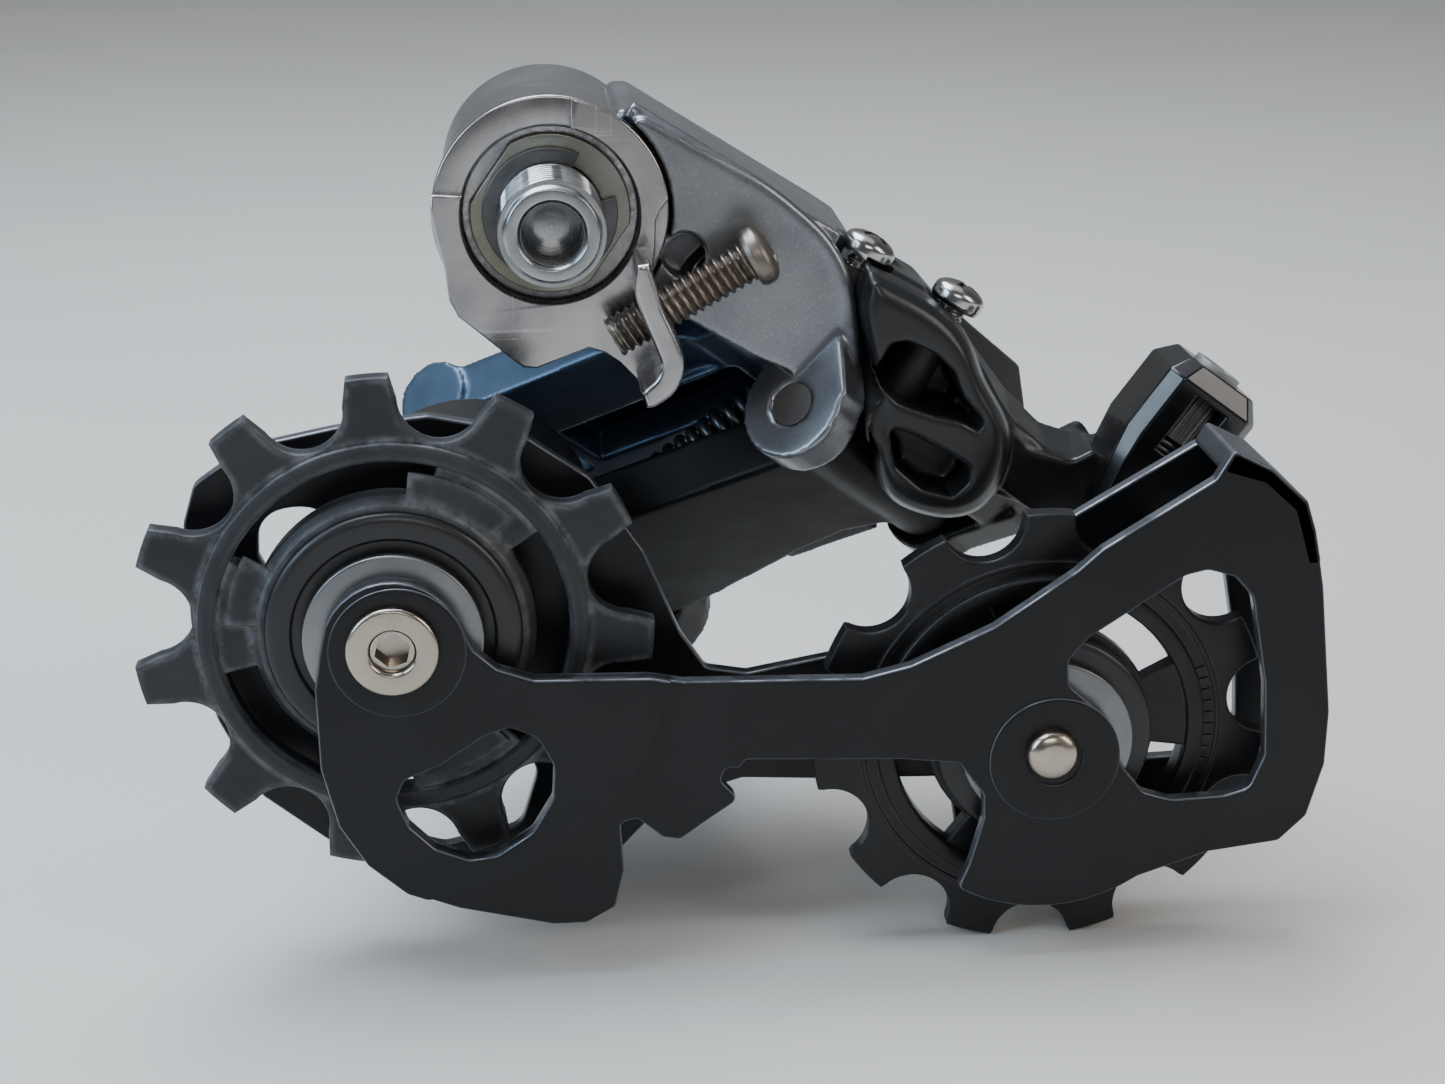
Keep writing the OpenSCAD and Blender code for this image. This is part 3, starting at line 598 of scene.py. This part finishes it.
bracket_black = finish("bracket_black", (0.008, 0.0085, 0.0095), (0.014, 0.0148, 0.0165),
                       rough=(0.26, 0.38), bump=0.07, wear=((0.10, 0.10, 0.11), 0.3, 0.35),
                       grime_and_shade=((0.05, 0.045, 0.04), 2.0, 0.4))
gloss_black = finish("gloss_black", (0.0045, 0.0048, 0.0055), (0.008, 0.0085, 0.010), specular=0.4,
                     rough=(0.18, 0.3), bump=0.04, coat=0.4, wear=((0.12, 0.13, 0.14), 0.3, 0.4),
                     grime_and_shade=((0.05, 0.045, 0.04), 1.5, 0.3))
link_black = finish("link_black", (0.0035, 0.0038, 0.0045), (0.006, 0.0065, 0.0075), specular=0.18,
                    rough=(0.34, 0.46), bump=0.05, wear=((0.10, 0.11, 0.12), 0.3, 0.4))
# The outer link is grey metal; the blue tint and extra brightness of this colour are a painted
# reflection of blue light from above.
grey_link_painted_sky_blue = finish("grey_link_painted_sky_blue", (0.10, 0.155, 0.23), (0.07, 0.11, 0.165), metallic=0.7,
                   rough=(0.3, 0.45), bump=0.05, wear=((0.25, 0.28, 0.32), 0.3, 0.4),
                   grime_and_shade=(BROWN, 1.5, 0.3))
pin_steel = finish("pin_steel", (0.20, 0.185, 0.18), (0.13, 0.12, 0.115), metallic=1.0,
                   rough=(0.35, 0.5), bump=0.15, grime_and_shade=(BROWN, 0.8, 0.5))
nickel = finish("nickel", (0.48, 0.42, 0.34), (0.38, 0.34, 0.29), metallic=1.0,
                rough=(0.18, 0.32), grain=2600, bump=0.06, wear=((0.8, 0.76, 0.7), 0.25, 0.5))
satin_steel = finish("satin_steel", (0.24, 0.245, 0.25), (0.18, 0.185, 0.19), metallic=1.0,
                     rough=(0.3, 0.42), brushed=ROUND_Y, bump=0.08,
                     wear=((0.75, 0.76, 0.78), 0.25, 0.6), grime_and_shade=(BROWN, 1.2, 0.5))
bronze = finish("bronze", (0.35, 0.25, 0.13), (0.26, 0.18, 0.10), metallic=1.0, rough=(0.35, 0.5),
                bump=0.15)
spring_steel = finish("spring_steel", (0.10, 0.11, 0.12), (0.06, 0.065, 0.07), metallic=0.9,
                      rough=(0.3, 0.45), bump=0.06, grime_and_shade=(BROWN, 1.0, 0.3))
black_plastic = finish("black_plastic", (0.012, 0.012, 0.012), (0.02, 0.02, 0.02), rough=(0.4, 0.6),
                       bump=0.1, grime_and_shade=(BROWN, 1.0, 0.3))
rubber = finish("rubber", (0.015, 0.015, 0.015), (0.025, 0.025, 0.024), rough=(0.6, 0.8), bump=0.15)
knurled = finish("knurled", (0.36, 0.37, 0.37), (0.22, 0.225, 0.22), metallic=0.6,
                 rough=(0.35, 0.5), bump=0.15, grime_and_shade=(BROWN, 0.8, 0.6))


# ---- Turned parts ----

def turned(name, profile, matrix, soft=0.2, closed=False):
    """A lathe piece whose corners are rounded"""
    rounded = []
    count = len(profile)
    for i, corner in enumerate(profile):
        here = Vector(corner)
        before, after = Vector(profile[i - 1]) - here, Vector(profile[(i + 1) % count]) - here
        ends = not closed and i in (0, count - 1)
        if ends or corner[0] < 0.01:
            rounded.append(tuple(here))
            continue
        reach = min(soft, before.length * 0.45, after.length * 0.45)
        start, stop = here + before.normalized() * reach, here + after.normalized() * reach
        for k in range(4):
            t = k / 3
            rounded.append(tuple(start.lerp(here, t).lerp(here.lerp(stop, t), t)))
    return smooth_shaded(lathe(name, rounded, matrix, closed=closed), 60)


def washer(name, inner, outer, low, high, matrix, soft=0.15):
    return turned(name, [(inner, low), (outer, low), (outer, high), (inner, high)], matrix, soft,
                  closed=True)


def cross_slots(head, matrix, reach, width, floor, top, turns):
    for turn in turns:
        way = matrix @ Matrix.Rotation(math.radians(turn), 4, "Z")
        half = width / 2
        outline = [(-reach, -half), (reach, -half), (reach, half), (-reach, half)]
        cut(head, prism("slot", outline, floor, top, way))
    return head


def screw(name, matrix, radius, pitch, shank, head_r, head_h, slots=(20, 110), slot_w=0.8):
    """A threaded screw with a domed, slotted head; its tip is at the frame's origin"""
    shaft = threaded("shaft", radius, pitch * 0.42, pitch, 0, shank, matrix)
    dome = [(0, shank - 0.3), (head_r - 0.25, shank - 0.3), (head_r, shank + 0.25),
            (head_r, shank + head_h * 0.42)]
    dome += [(head_r * math.cos(t), shank + head_h * (0.42 + 0.58 * math.sin(t)))
             for t in (0.25, 0.5, 0.75, 1.0, 1.25)]
    dome += [(0, shank + head_h)]
    head = turned("head", dome, matrix, 0.12)
    cross_slots(head, matrix, head_r * 0.62, slot_w, shank + head_h * 0.5, shank + head_h + 1,
                slots)
    return smooth_shaded(joined(name, [shaft, head]), 28)


# ---- Hanger side ----

def mounting_bolt():
    low, high = span_y("mounting_bolt")
    at = facing((0, 0, 0))
    thread = threaded("thread", 5.0, 0.55, 1.0, 0.2, -low - 0.5, at, steps=72)
    nose = turned("nose", [(2.9, -low - 4), (2.9, -low - 0.5), (3.3, -low), (4.25, -low),
                           (4.75, -low - 0.7), (4.4, -low - 4)], at, 0.12, closed=True)
    floor = turned("floor", [(0, -low - 3.4), (2.9, -low - 3.9), (2.9, -low - 4.6),
                             (0, -low - 4.6)], at)
    journal = turned("journal", [(4.7, 0.4), (4.9, -1.0), (5.5, -1.2), (5.5, -high + 4),
                                 (8, -high + 4), (8, -high + 0.8), (7.2, -high), (0, -high)],
                     at, 0.3)
    key = prism("key", ring(2.9, 6), -high - 2, -high + 3.4, at)
    journal = smooth_shaded(cut(journal, key), 30)
    cutter = rod("well", 2.9, -low - 3.95, -low + 1, at)
    body = joined("mounting_bolt_piece", [cut(thread, cutter), nose, floor, journal])
    place(smooth_shaded(body, 45), "hanger_side", "bolt_steel", turned_steel, "mounting_bolt")


def hanger_rings():
    for node, material, slot, soft in (("keyed_washer", zinc_steel, "zinc_steel", 0.12),
                                       ("snap_ring", dark_steel, "dark_steel", 0.12)):
        low, high = span_y(node)
        piece = sheet(node + "_piece", section(node, -(low + high) / 2), -high, -low, soft)
        place(piece, "hanger_side", slot, material, node)


def stop_plate():
    low, high = span_y("stop_plate")
    at = facing((0, 0, 0))
    floor, lower_face, face = -1.2, -0.2, 0.68
    ring_base = turned("ring", [(5.55, floor), (8.4, floor), (8.4, lower_face), (11.25, lower_face),
                                (11.25, -high), (5.55, -high)], at, 0.25, closed=True)
    outline = arc((0, 0), 8.45, 166, 436, 90) + arc((0, 0), 11.25, 79, 7, 30) + [
        (10.3, 0.2), (9.95, -0.6), (9.9, -3.2), (9.6, -5.4), (10.2, -7.6), (11.6, -10.6),
        (12.0, -12.8), (11.6, -14.8), (10.2, -16.2), (8.7, -16.9), (7.7, -15.9), (6.3, -14.4),
        (4.9, -13.4), (3.4, -12.9), (1.0, -13.8), (-1.6, -14.8), (-2.9, -14.7), (-4, -13.9),
        (-6.6, -11.6), (-9.0, -9.6), (-9.8, -8.0), (-10.1, -5), (-10.8, -1.9), (-11.25, 0.4),
        (-11.1, 2.2)]
    raised = sheet("raised", [outline], lower_face - 0.08, face, 0.22)
    notch = rod("notch", 1.15, -1, 2, at @ Matrix.Translation((0.7, 8.3, 0)), 24)
    wall = ribbon([(8.3, -3.2), (8.6, -5.7), (9.1, -7.7), (10.4, -10.8), (11.0, -12.8),
                   (10.4, -14.7), (9.0, -15.9), (8.2, -16.2)],
                  [0.55, 1.05, 1.05, 1.1, 1.1, 1.1, 1.0, 0.8])
    wall = sheet("wall_of_plate", [wall], lower_face, -low, 0.5, segments=4)
    body = joined("stop_plate_piece", [ring_base, cut(raised, notch), wall])
    place(smooth_shaded(body, 50), "stop_plate", "polished_steel", polished_steel, "stop_plate")


def tip_frame(node, axis, length):
    at = middle(node)
    return pointing(at - axis * length / 2, axis)


def b_tension_screw():
    axis = -Vector(joints["b_screw_travel"]["axis"])
    at = tip_frame("b_tension_screw", axis, B_SCREW_LEN)
    piece = screw("b_tension_screw_piece", at, 2.0, 0.85, 15, 2.9, 2.2, slot_w=0.9)
    place(piece, "b_tension_screw", "screw_steel", thread_steel, "b_tension_screw")


def limit_screw_frame(name):
    axis = Vector(joints[f"limit_{name}_travel"]["axis"])
    return tip_frame(f"limit_screw_{name}", axis, LIMIT_SCREW_LEN)


def limit_screws():
    for name, slots in (("high", (35, 125)), ("low", (60, 150))):
        node = f"limit_screw_{name}"
        at = limit_screw_frame(name)
        piece = screw(node + "_piece", at, 1.5, 0.6, 10.4, 2.7, 2.2, slots, 0.6)
        place(piece, node, "screw_steel", bright_screw, node)


# ---- Pulleys ----

def tooth_sheet(node, matrix):
    """The toothed web of a pulley: outline, windows and bore"""
    loops = section(node, 0.0, matrix)
    return sheet("teeth", loops, -TOOTH_HALF, TOOTH_HALF, 0.3, matrix)


def wedge(matrix, start, end, inner, outer, low, high):
    """A raised facet on a spoke, sloping down to one side"""
    outline = arc((0, 0), outer, start, end, 8) + arc((0, 0), inner, end, start, 8)
    last = len(outline) - 1
    tops = [(x, y, low + (high - low) * (0.3 + 0.7 * i / last)) for i, (x, y) in enumerate(outline)]
    return from_grid("wedge", [[(x, y, low) for x, y in outline], tops], matrix)


def guide_pulley():
    at = facing(GUIDE)
    web = tooth_sheet("guide_pulley", at)
    rim = washer("rim", 16.5, 18.3, -1.65, 1.65, at, 0.5)
    hub = turned("hub", [(4.05, -2.95), (12, -2.95), (12, 2.55), (11.4, 2.95), (9.6, 2.95),
                         (9.4, 2.7), (4.05, 2.7)], at, 0.3, closed=True)
    facets = [crisp(wedge(at, start, end, 11.7, 15.6, 1.0, 1.9), 0.15)
              for start, end in ((44, 83), (150, 176), (276, 312))]
    cone = turned("cone", [(11.8, -2.2), (13.3, -1.0), (13.3, 1.0), (12.4, 2.1), (11.8, 2.1)],
                  at, 0.2, closed=True)
    body = joined("guide_pulley_piece", [web, rim, cone] + facets)
    place(body, "guide_pulley", "charcoal_polymer", guide_polymer, "guide_pulley")
    place(joined("guide_hub", [hub]), "guide_pulley", "charcoal_polymer", hub_black)


def tension_pulley():
    at = facing(TENSION)
    web = tooth_sheet("tension_pulley", at)
    rim = washer("rim", 14.45, 16.2, -1.6, 1.6, at, 0.4)
    line = washer("line", 17.3, 17.8, -1.3, 1.3, at, 0.15)
    hub = turned("hub", [(4.05, -2.95), (10.6, -2.95), (10.6, 2.6), (10.1, 2.95), (4.05, 2.95)],
                 at, 0.3, closed=True)
    tick = [(15.9, -0.12), (17.1, -0.12), (17.1, 0.12), (15.9, 0.12)]
    marks = [prism("mark", tick, 1.0, 1.3,
                   at @ Matrix.Rotation(math.radians(-16 + 4.2 * i), 4, "Z")) for i in range(10)]
    body = joined("tension_pulley_piece", [web, rim, line] + marks)
    place(body, "tension_pulley", "black_polymer", tension_polymer, "tension_pulley")
    place(joined("tension_hub", [hub]), "tension_pulley", "black_polymer", hub_black)


def dust_caps():
    for node, at in (("guide_dust_caps", GUIDE), ("tension_dust_caps", TENSION)):
        caps = [washer("cap", 2.6, 8.4, low, low + 0.9, facing(at), 0.25)
                for low in (-4.15, 3.25)]
        place(joined(node + "_piece", caps), "cage", "satin_steel", satin_steel, node)


# ---- Cage ----

def pulley_bolts():
    front, back = -INNER_FACE, -OUTER_BACK
    at = facing((GUIDE.x, 0, GUIDE.z))
    bolt = turned("bolt", [(0, back), (2.5, back), (2.5, front), (4.3, front),
                           (4.3, front + 1.25), (4.05, front + 1.5), (2.3, front + 1.5),
                           (2.0, front + 1.1), (2.0, front - 1.6), (0, front - 1.8)], at, 0.15)
    socket = cut(rod("socket", 2.1, front - 1.7, front + 0.7, at),
                 prism("hex", ring(1.75, 6), front - 2, front + 2,
                       at @ Matrix.Rotation(0.3, 4, "Z")))
    bolt = joined("guide_bolt_piece", [bolt, socket])
    place(smooth_shaded(bolt, 35), "cage", "warm_nickel", nickel, "guide_bolt")
    at = facing((TENSION.x, 0, TENSION.z))
    bolt = turned("tension_bolt_piece", [
        (0, back - 1.6), (3.9, back - 1.6), (4.3, back - 1.2), (4.3, back), (2.5, back),
        (2.5, front + 0.9), (2.2, front + 1.4), (1.5, front + 1.75), (0, front + 1.9)], at, 0.3)
    place(bolt, "cage", "warm_nickel", nickel, "tension_bolt")


def inner_cage_plate():
    front, back = -INNER_FACE, -INNER_BACK
    loops = section("inner_cage_plate", (front + back) / 2)
    plate = sheet("plate", loops, back, front, 0.32)
    raised = sheet("raised", loops, back + 0.3, front + 0.4, 0.32)
    disc = rod("disc", 25.9, back - 2, front + 3, facing((GUIDE.x, 0, GUIDE.z)), 160)
    raised = smooth_shaded(combine(raised, disc, "INTERSECT"), 35)
    bosses = [turned("boss", [(2.7, front - 0.5), (6.35, front - 0.5), (6.35, front + top - 0.1),
                              (6.1, front + top), (2.7, front + top)],
                     facing((x, 0, z)), 0.12, closed=True)
              for x, z, top in ((GUIDE.x + 0.4, GUIDE.z - 0.4, 0.6),
                                (TENSION.x + 0.4, TENSION.z - 0.8, 0.25))]
    bridge = sheet("bridge", section("inner_cage_plate", -GUIDE.y), -OUTER_FACE, front, 0.35)
    body = joined("inner_cage_plate_piece", [plate, raised, bridge] + bosses)
    place(body, "cage", "black_plate", plate_black, "inner_cage_plate")


def outer_cage_plate():
    loops = section("outer_cage_plate", -(OUTER_FACE + OUTER_BACK) / 2)
    # A rounder window takes the place of the one in the CAD's outline
    window = Vector((-25.5, -27.5))
    loops = loops[:1] + [loop for loop in loops[1:]
                         if min((p - window).length for p in loop) > 7.0 or len(loop) > 40]
    loops.append(flowing([(-28.4, -30.4), (-28.1, -27.6), (-26.4, -26.0), (-23.4, -25.8),
                          (-21.8, -27.2), (-22.2, -30.6), (-24.2, -32.8), (-26.8, -32.6),
                          (-28.2, -31.2)], 4)[:-1])
    plate = sheet("outer_cage_plate_piece", loops, -OUTER_BACK, -OUTER_FACE, 0.35)
    place(plate, "cage", "black_plate", plate_black, "outer_cage_plate")


mounting_bolt()
hanger_rings()
stop_plate()
b_tension_screw()
limit_screws()
guide_pulley()
tension_pulley()
dust_caps()
pulley_bolts()
inner_cage_plate()
outer_cage_plate()

ROUNDED = [
    ("cage_stop_pin", "cage", "pin_steel", pin_steel, 0.2),
    ("p_axle", "cage", "pin_steel", pin_steel, 0.2),
    ("cable_anchor_bolt", "inner_link", "screw_steel", bright_screw, 0.2),
    ("cable_anchor_washer", "inner_link", "dark_steel", dark_steel, 0.2),
    ("p_axle_screw", "p_knuckle", "screw_steel", bright_screw, 0.1),
]
for node, body, slot, material, width in ROUNDED:
    place(crisp(cad(node, node + "_piece"), width), body, slot, material, node)


# ---- Castings ----

def b_knuckle():
    ridge = flowing([(7.6, 2.4, 9.5), (13.9, 1.8, 5.7), (19.6, 1.4, 2.2), (23.3, 1.35, -0.7),
                     (26.2, 1.3, -3.6), (28.0, 1.2, -6.9), (28.7, 1.0, -10.7), (28.9, 0.4, -14.8),
                     (28.2, -0.6, -19.0), (27.0, -1.2, -22.4)])
    crease = wire("crease", ridge, 0.95, Matrix.Identity(4))
    source = cad("b_knuckle", "b_knuckle_piece")
    hole = rod("hole", 2.15, -2.7, 2, facing((12.7, 0, -4.3)))
    body = cast(joined("b_knuckle_piece", [cut(source, hole), crease]), 0.28, 7)
    place(body, "b_knuckle", "grey_casting", pearl_grey, "b_knuckle")


def link_bracket():
    source = cad("link_bracket", "link_bracket_piece")
    outline = [Vector(p) for p in (
        (30.0, -4.9), (36.9, -8.9), (40.4, -12.6), (42.4, -17.2), (45.2, -22.7), (44.8, -27.6),
        (42.4, -31.0), (38.4, -31.8), (33.4, -29.8), (31.0, -25.4), (31.6, -20.6), (30.4, -14.5),
        (29.2, -8.8))]
    outline = flowing(outline + outline[:1], 5)[:-1]
    centre = Vector((37.0, -20.0))
    lean = Vector((-0.12, 0.18))
    front = from_grid("front", [
        [(*(centre + (p - centre) * k + lean * h), h) for p in outline]
        for h, k in ((-13, 1.0), (-4.4, 1.0), (-1.4, 0.985), (0.6, 0.93), (1.8, 0.85),
                     (2.3, 0.76))], INBOARD)
    trim = prism("trim", [(30.5, -40), (60, -40), (60, 5), (30.5, 5)], 1.9, 12, INBOARD)
    arm = from_grid("arm", [
        [(x + dx, y, z + dz) for dx, y, dz in ((-w * 0.35, 4.2, -w * 0.9), (w * 0.5, 4.0, w * 0.75),
                                               (w * 0.7, 11.5, w), (-w * 0.35, 12.5, -w * 0.9))]
        for x, z, w in ((39.0, -21.0, 5.2), (43.5, -25.6, 4.4), (48.0, -28.4, 3.4),
                        (52.6, -29.6, 3.1), (56.4, -29.6, 3.4))], Matrix.Identity(4))
    crease = wire("crease", flowing([(30.6, 4.6, -6.6), (36.4, 4.2, -12.1), (40.3, 4.2, -14.4),
                                     (42.0, 4.2, -17.0), (44.6, 4.2, -21.6), (47.6, 4.6, -25.2),
                                     (52.2, 5.0, -28.0)]), 0.8, Matrix.Identity(4))
    room = [rod("end", 4.9, 3.8, 40, LINKS),
            prism("sweep", [(-1, -8), (39, -8), (39, 4.4), (-1, 4.4)], 3.8, 40, LINKS)]
    shift = INBOARD @ Matrix.Translation((-0.8, 1.2, 0))
    upper = prism("upper", [
        (33.3, -14.0), (35.0, -13.8), (37.8, -15.2), (39.6, -17.0), (40.6, -19.6), (42.6, -22.0),
        (42.5, -23.2), (40.4, -22.0), (37.6, -21.3), (34.2, -20.0), (32.6, -18.6), (31.9, -16.6)],
        -7, 5, shift)
    lower = prism("lower", [
        (33.3, -22.4), (35.9, -23.3), (39.4, -25.4), (41.4, -26.7), (41.4, -28.3), (39.8, -29.8),
        (36.6, -28.8), (34.0, -26.4)], -3.5, 5, shift)
    upper_again, lower_again = upper.copy(), lower.copy()
    for piece in (upper_again, lower_again):
        bpy.context.scene.collection.objects.link(piece)
    front = cut(front, *room, upper, lower)
    source = cut(source, trim, upper_again, lower_again)
    body = cast(joined("link_bracket_piece", [source, front, arm, crease]), 0.3, 6)
    sockets = [rod("socket", 3.2, 8.8, 18, limit_screw_frame(name)) for name in ("high", "low")]
    place(cut(body, *sockets), "b_knuckle", "black_casting", bracket_black, "link_bracket")


def cable_stop():
    axis = Vector(joints["adjuster_turn"]["axis"]).normalized()
    axis = axis if axis.z > 0 else -axis
    base = Vector((59, 5, -29.2))
    across = Vector((0, 1, 0)).cross(axis).normalized()
    at = Matrix.Translation(base) @ Matrix((across, (0, 1, 0), axis)).transposed().to_4x4()

    def octagon(half_x, half_y, chamfer, h):
        return [(sx * x, sy * y, h) for sx, sy, x, y in (
            (1, -1, half_x, half_y - chamfer), (1, 1, half_x, half_y - chamfer),
            (1, 1, half_x - chamfer, half_y), (-1, 1, half_x - chamfer, half_y),
            (-1, 1, half_x, half_y - chamfer), (-1, -1, half_x, half_y - chamfer),
            (-1, -1, half_x - chamfer, half_y), (1, -1, half_x - chamfer, half_y))]

    body = from_grid("cable_stop_piece", [octagon(*row) for row in (
        (2.6, 3.6, 0.8, -5.0), (3.8, 4.3, 1.0, -2.0), (4.8, 4.8, 1.2, 1.0), (5.5, 5.0, 1.4, 4.4),
        (5.5, 5.0, 1.4, 11.4), (4.1, 3.8, 1.2, 13.4))], at)
    window = prism("window", [(-1.9, -8), (1.9, -8), (1.9, 8), (-1.9, 8)], 4.0, 10.6, at)
    bore = rod("bore", 3.0, 3.4, 10.8, at)
    mouth = rod("mouth", 2.75, 9, 15, at)
    body = crisp(cut(body, window, bore, mouth), 0.22)
    place(body, "b_knuckle", "black_gloss", gloss_black, "cable_stop")
    knurl = [(r * math.cos(math.radians(t)), r * math.sin(math.radians(t)))
             for t, r in ((360 * i / 96, 2.62 if i % 4 < 2 else 2.38) for i in range(96))]
    barrel = prism("barrel", knurl, 5.6, 12.6, at)
    lip = turned("lip", [(2.3, 12.2), (2.6, 12.6), (2.6, 14.0), (1.9, 14.0), (1.9, 12.2)], at, 0.1,
                 closed=True)
    place(smooth_shaded(joined("barrel_adjuster_piece", [barrel, lip]), 30), "barrel_adjuster",
          "adjuster_alloy", knurled, "barrel_adjuster")


def spring(node, body, at, radius, turns, length, thick):
    """A wound spring; its frame's origin is on its axis, at its lower end"""
    rise = (length - 2 * thick) / turns
    coil = wire(node + "_piece", helix(radius, turns, rise), thick,
                at @ Matrix.Translation((0, 0, thick)))
    return place(smooth_shaded(coil, 80), body, "spring_steel", spring_steel, node)


def springs():
    low, high = span_y("b_spring")
    spring("b_spring", "b_knuckle", facing((0, high, 0)), 7.8, 4.5, high - low, 1.1)
    low, high = span_y("p_spring")
    at = facing((P_PIVOT.x, high, P_PIVOT.z))
    spring("p_spring", "p_knuckle", at, 8.4, 2.75, high - low, 1.0)
    start = LINKS @ Vector((OUTER_PIN.x + 5.2, OUTER_PIN.y - 5.0, 9.5))
    end = LINKS @ Vector((LINK_LEN - 14.5, 2.7, 9.5))
    turns = 9
    coil = wire("return_spring_piece", helix(2.1, turns, (end - start).length / turns), 0.6,
                pointing(start, end - start))
    smooth_shaded(coil, 80).data.materials.append(spring_steel)
    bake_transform(coil)
    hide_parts("return_spring")


b_knuckle()
link_bracket()
cable_stop()
springs()


def inner_link():
    low_z, high_z = INNER_LINK_LOW, INNER_LINK_HIGH
    far = LINK_LEN
    ends = [rod("end", 4.2, low_z, high_z, LINKS @ Matrix.Translation((x, 0, 0)))
            for x in (0, far)]
    web = prism("web", [(-2, low_z), (far + 2, low_z), (far + 2, high_z), (far - 3, high_z),
                        (28, 27.2), (20, 25.2), (13, 23.2), (7.5, 22.4), (3.5, 23.6), (0.5, 26),
                        (-2, high_z)], -2.8, 3.4, LINKS @ INBOARD)
    arm = prism("arm", [(6, -1.5), (17, -1.5), (17, 8), (6, 8)], high_z - 6, high_z, LINKS)
    holes = [rod("hole", 3.0, 2, 30, LINKS @ Matrix.Translation((x, 0, 0))) for x in (0, far)]
    pocket = prism("pocket", [(8, -0.5), (29, -0.5), (29, 5), (8, 5)], 6, 14, LINKS)
    body = combine(web, arm, "UNION")
    for end in ends:
        combine(body, end, "UNION")
    cut(body, pocket, *holes)
    body.name = "inner_link_piece"
    place(cast(body, 0.3, 5), "inner_link", "black_gloss", link_black, "inner_link")


def outer_link():
    source = cad("outer_link", "outer_link_piece")
    end = LINKS @ Matrix.Translation(OUTER_PIN) @ Matrix.Translation((LINK_LEN, 0, 0))
    low_z = OUTER_LINK_LOW - OUTER_PIN.z
    cap = rod("cap", 4.1, low_z - 0.55, low_z + 0.1, end)
    body = cast(joined("outer_link_piece", [source, cap]), 0.3, 4)
    # Its blue colour is a painted sky reflection on grey metal.
    place(body, "outer_link", "blue_grey_alloy", grey_link_painted_sky_blue, "outer_link")


def p_knuckle():
    source = cad("p_knuckle", "p_knuckle_piece")
    at = LINKS @ Matrix.Translation((LINK_LEN, 0, 0))
    ear = prism("ear", ring(5.6, 48, (0.6, 0)), 28.5, 34, at)
    cheek = prism("cheek", [(3.5, -5.6), (9.4, -6), (9.4, 4.5), (3.5, 5.4)], 28.5, 34, at)
    body = cast(joined("p_knuckle_piece", [source, ear, cheek]), 0.3, 6)
    place(body, "p_knuckle", "black_casting", bracket_black, "p_knuckle")


inner_link()
outer_link()
p_knuckle()

PLAIN = {"b_bushing": bronze, "p_bushing": bronze, "outer_link_bushings": bronze,
         "inner_link_bushings": bronze, "guide_bushing": bronze, "tension_bushing": bronze,
         "b_seal_ring": rubber, "p_seal_ring": rubber, "limit_screw_sleeves": black_plastic,
         "link_pins_b": pin_steel, "link_pins_p": pin_steel, "adjuster_spring": spring_steel}
for node, material in PLAIN.items():
    mesh = frame["nodes"][node].data
    mesh.materials.clear()
    mesh.materials.append(material)


# ---- Camera, floor and light ----

def camera():
    data = bpy.data.cameras.new("camera")
    data.sensor_width = 36
    data.lens = 60.78
    obj = bpy.data.objects.new("camera", data)
    bpy.context.scene.collection.objects.link(obj)
    azimuth, elevation, distance = math.radians(-5.08), math.radians(19.37), 228.47
    back = Vector((math.sin(azimuth) * math.cos(elevation),
                   -math.cos(azimuth) * math.cos(elevation), math.sin(elevation)))
    target = Vector((15.13, -13.6, -28.48)) * MM
    obj.location = target + back * distance * MM
    obj.rotation_euler = back.to_track_quat("Z", "Y").to_euler()
    bpy.context.scene.camera = obj


def studio_floor():
    floor_z = cad_box[0][2]
    bm = bmesh.new()
    reach, back = 3.0, 1.1
    corners = [(-reach, -reach), (reach, -reach), (reach, back), (-reach, back)]
    bm.faces.new([bm.verts.new((x, y, floor_z)) for x, y in corners])
    floor = to_object("floor", bm)
    bm = bmesh.new()
    bm.faces.new([bm.verts.new(p) for p in ((-reach, back, floor_z), (reach, back, floor_z),
                                            (reach, back, reach), (-reach, back, reach))])
    wall = to_object("wall", bm)
    n = Nodes("floor_paint")
    paint = n.mix(n.noise(12, 4), (0.62, 0.60, 0.57), (0.68, 0.66, 0.63))
    n.put(n.shader.inputs["Base Color"], paint)
    n.shader.inputs["Roughness"].default_value = 0.7
    for obj in (floor, wall):
        obj.data.materials.append(n.material)


def light(name, at, size, power, colour):
    data = bpy.data.lights.new(name, "AREA")
    data.shape = "RECTANGLE"
    data.size, data.size_y = size
    data.energy = power
    data.color = colour
    obj = bpy.data.objects.new(name, data)
    bpy.context.scene.collection.objects.link(obj)
    obj.location = at
    aim = Vector((0.015, 0, -0.03)) - Vector(at)
    obj.rotation_euler = aim.to_track_quat("-Z", "Y").to_euler()


def studio_lights():
    light("overhead", (-0.10, 0.10, 0.45), (0.5, 0.30), 4.2, (0.80, 0.89, 1.0))
    light("left", (-0.42, -0.16, 0.20), (0.2, 0.3), 1.5, (0.62, 0.80, 1.0))
    light("right", (0.45, -0.20, 0.22), (0.2, 0.3), 0.9, (1.0, 0.93, 0.86))
    light("front", (0.02, -0.55, 0.30), (0.3, 0.12), 0.6, (1.0, 0.96, 0.92))
    light("sky", (0.0, 0.5, 1.6), (2.4, 1.6), 9.0, (0.92, 0.96, 1.0))
    world = bpy.data.worlds.new("world")
    world.use_nodes = True
    world.node_tree.nodes["Background"].inputs["Color"].default_value = (0.75, 0.80, 0.88, 1)
    world.node_tree.nodes["Background"].inputs["Strength"].default_value = 0.16
    bpy.context.scene.world = world


camera()
studio_floor()
studio_lights()
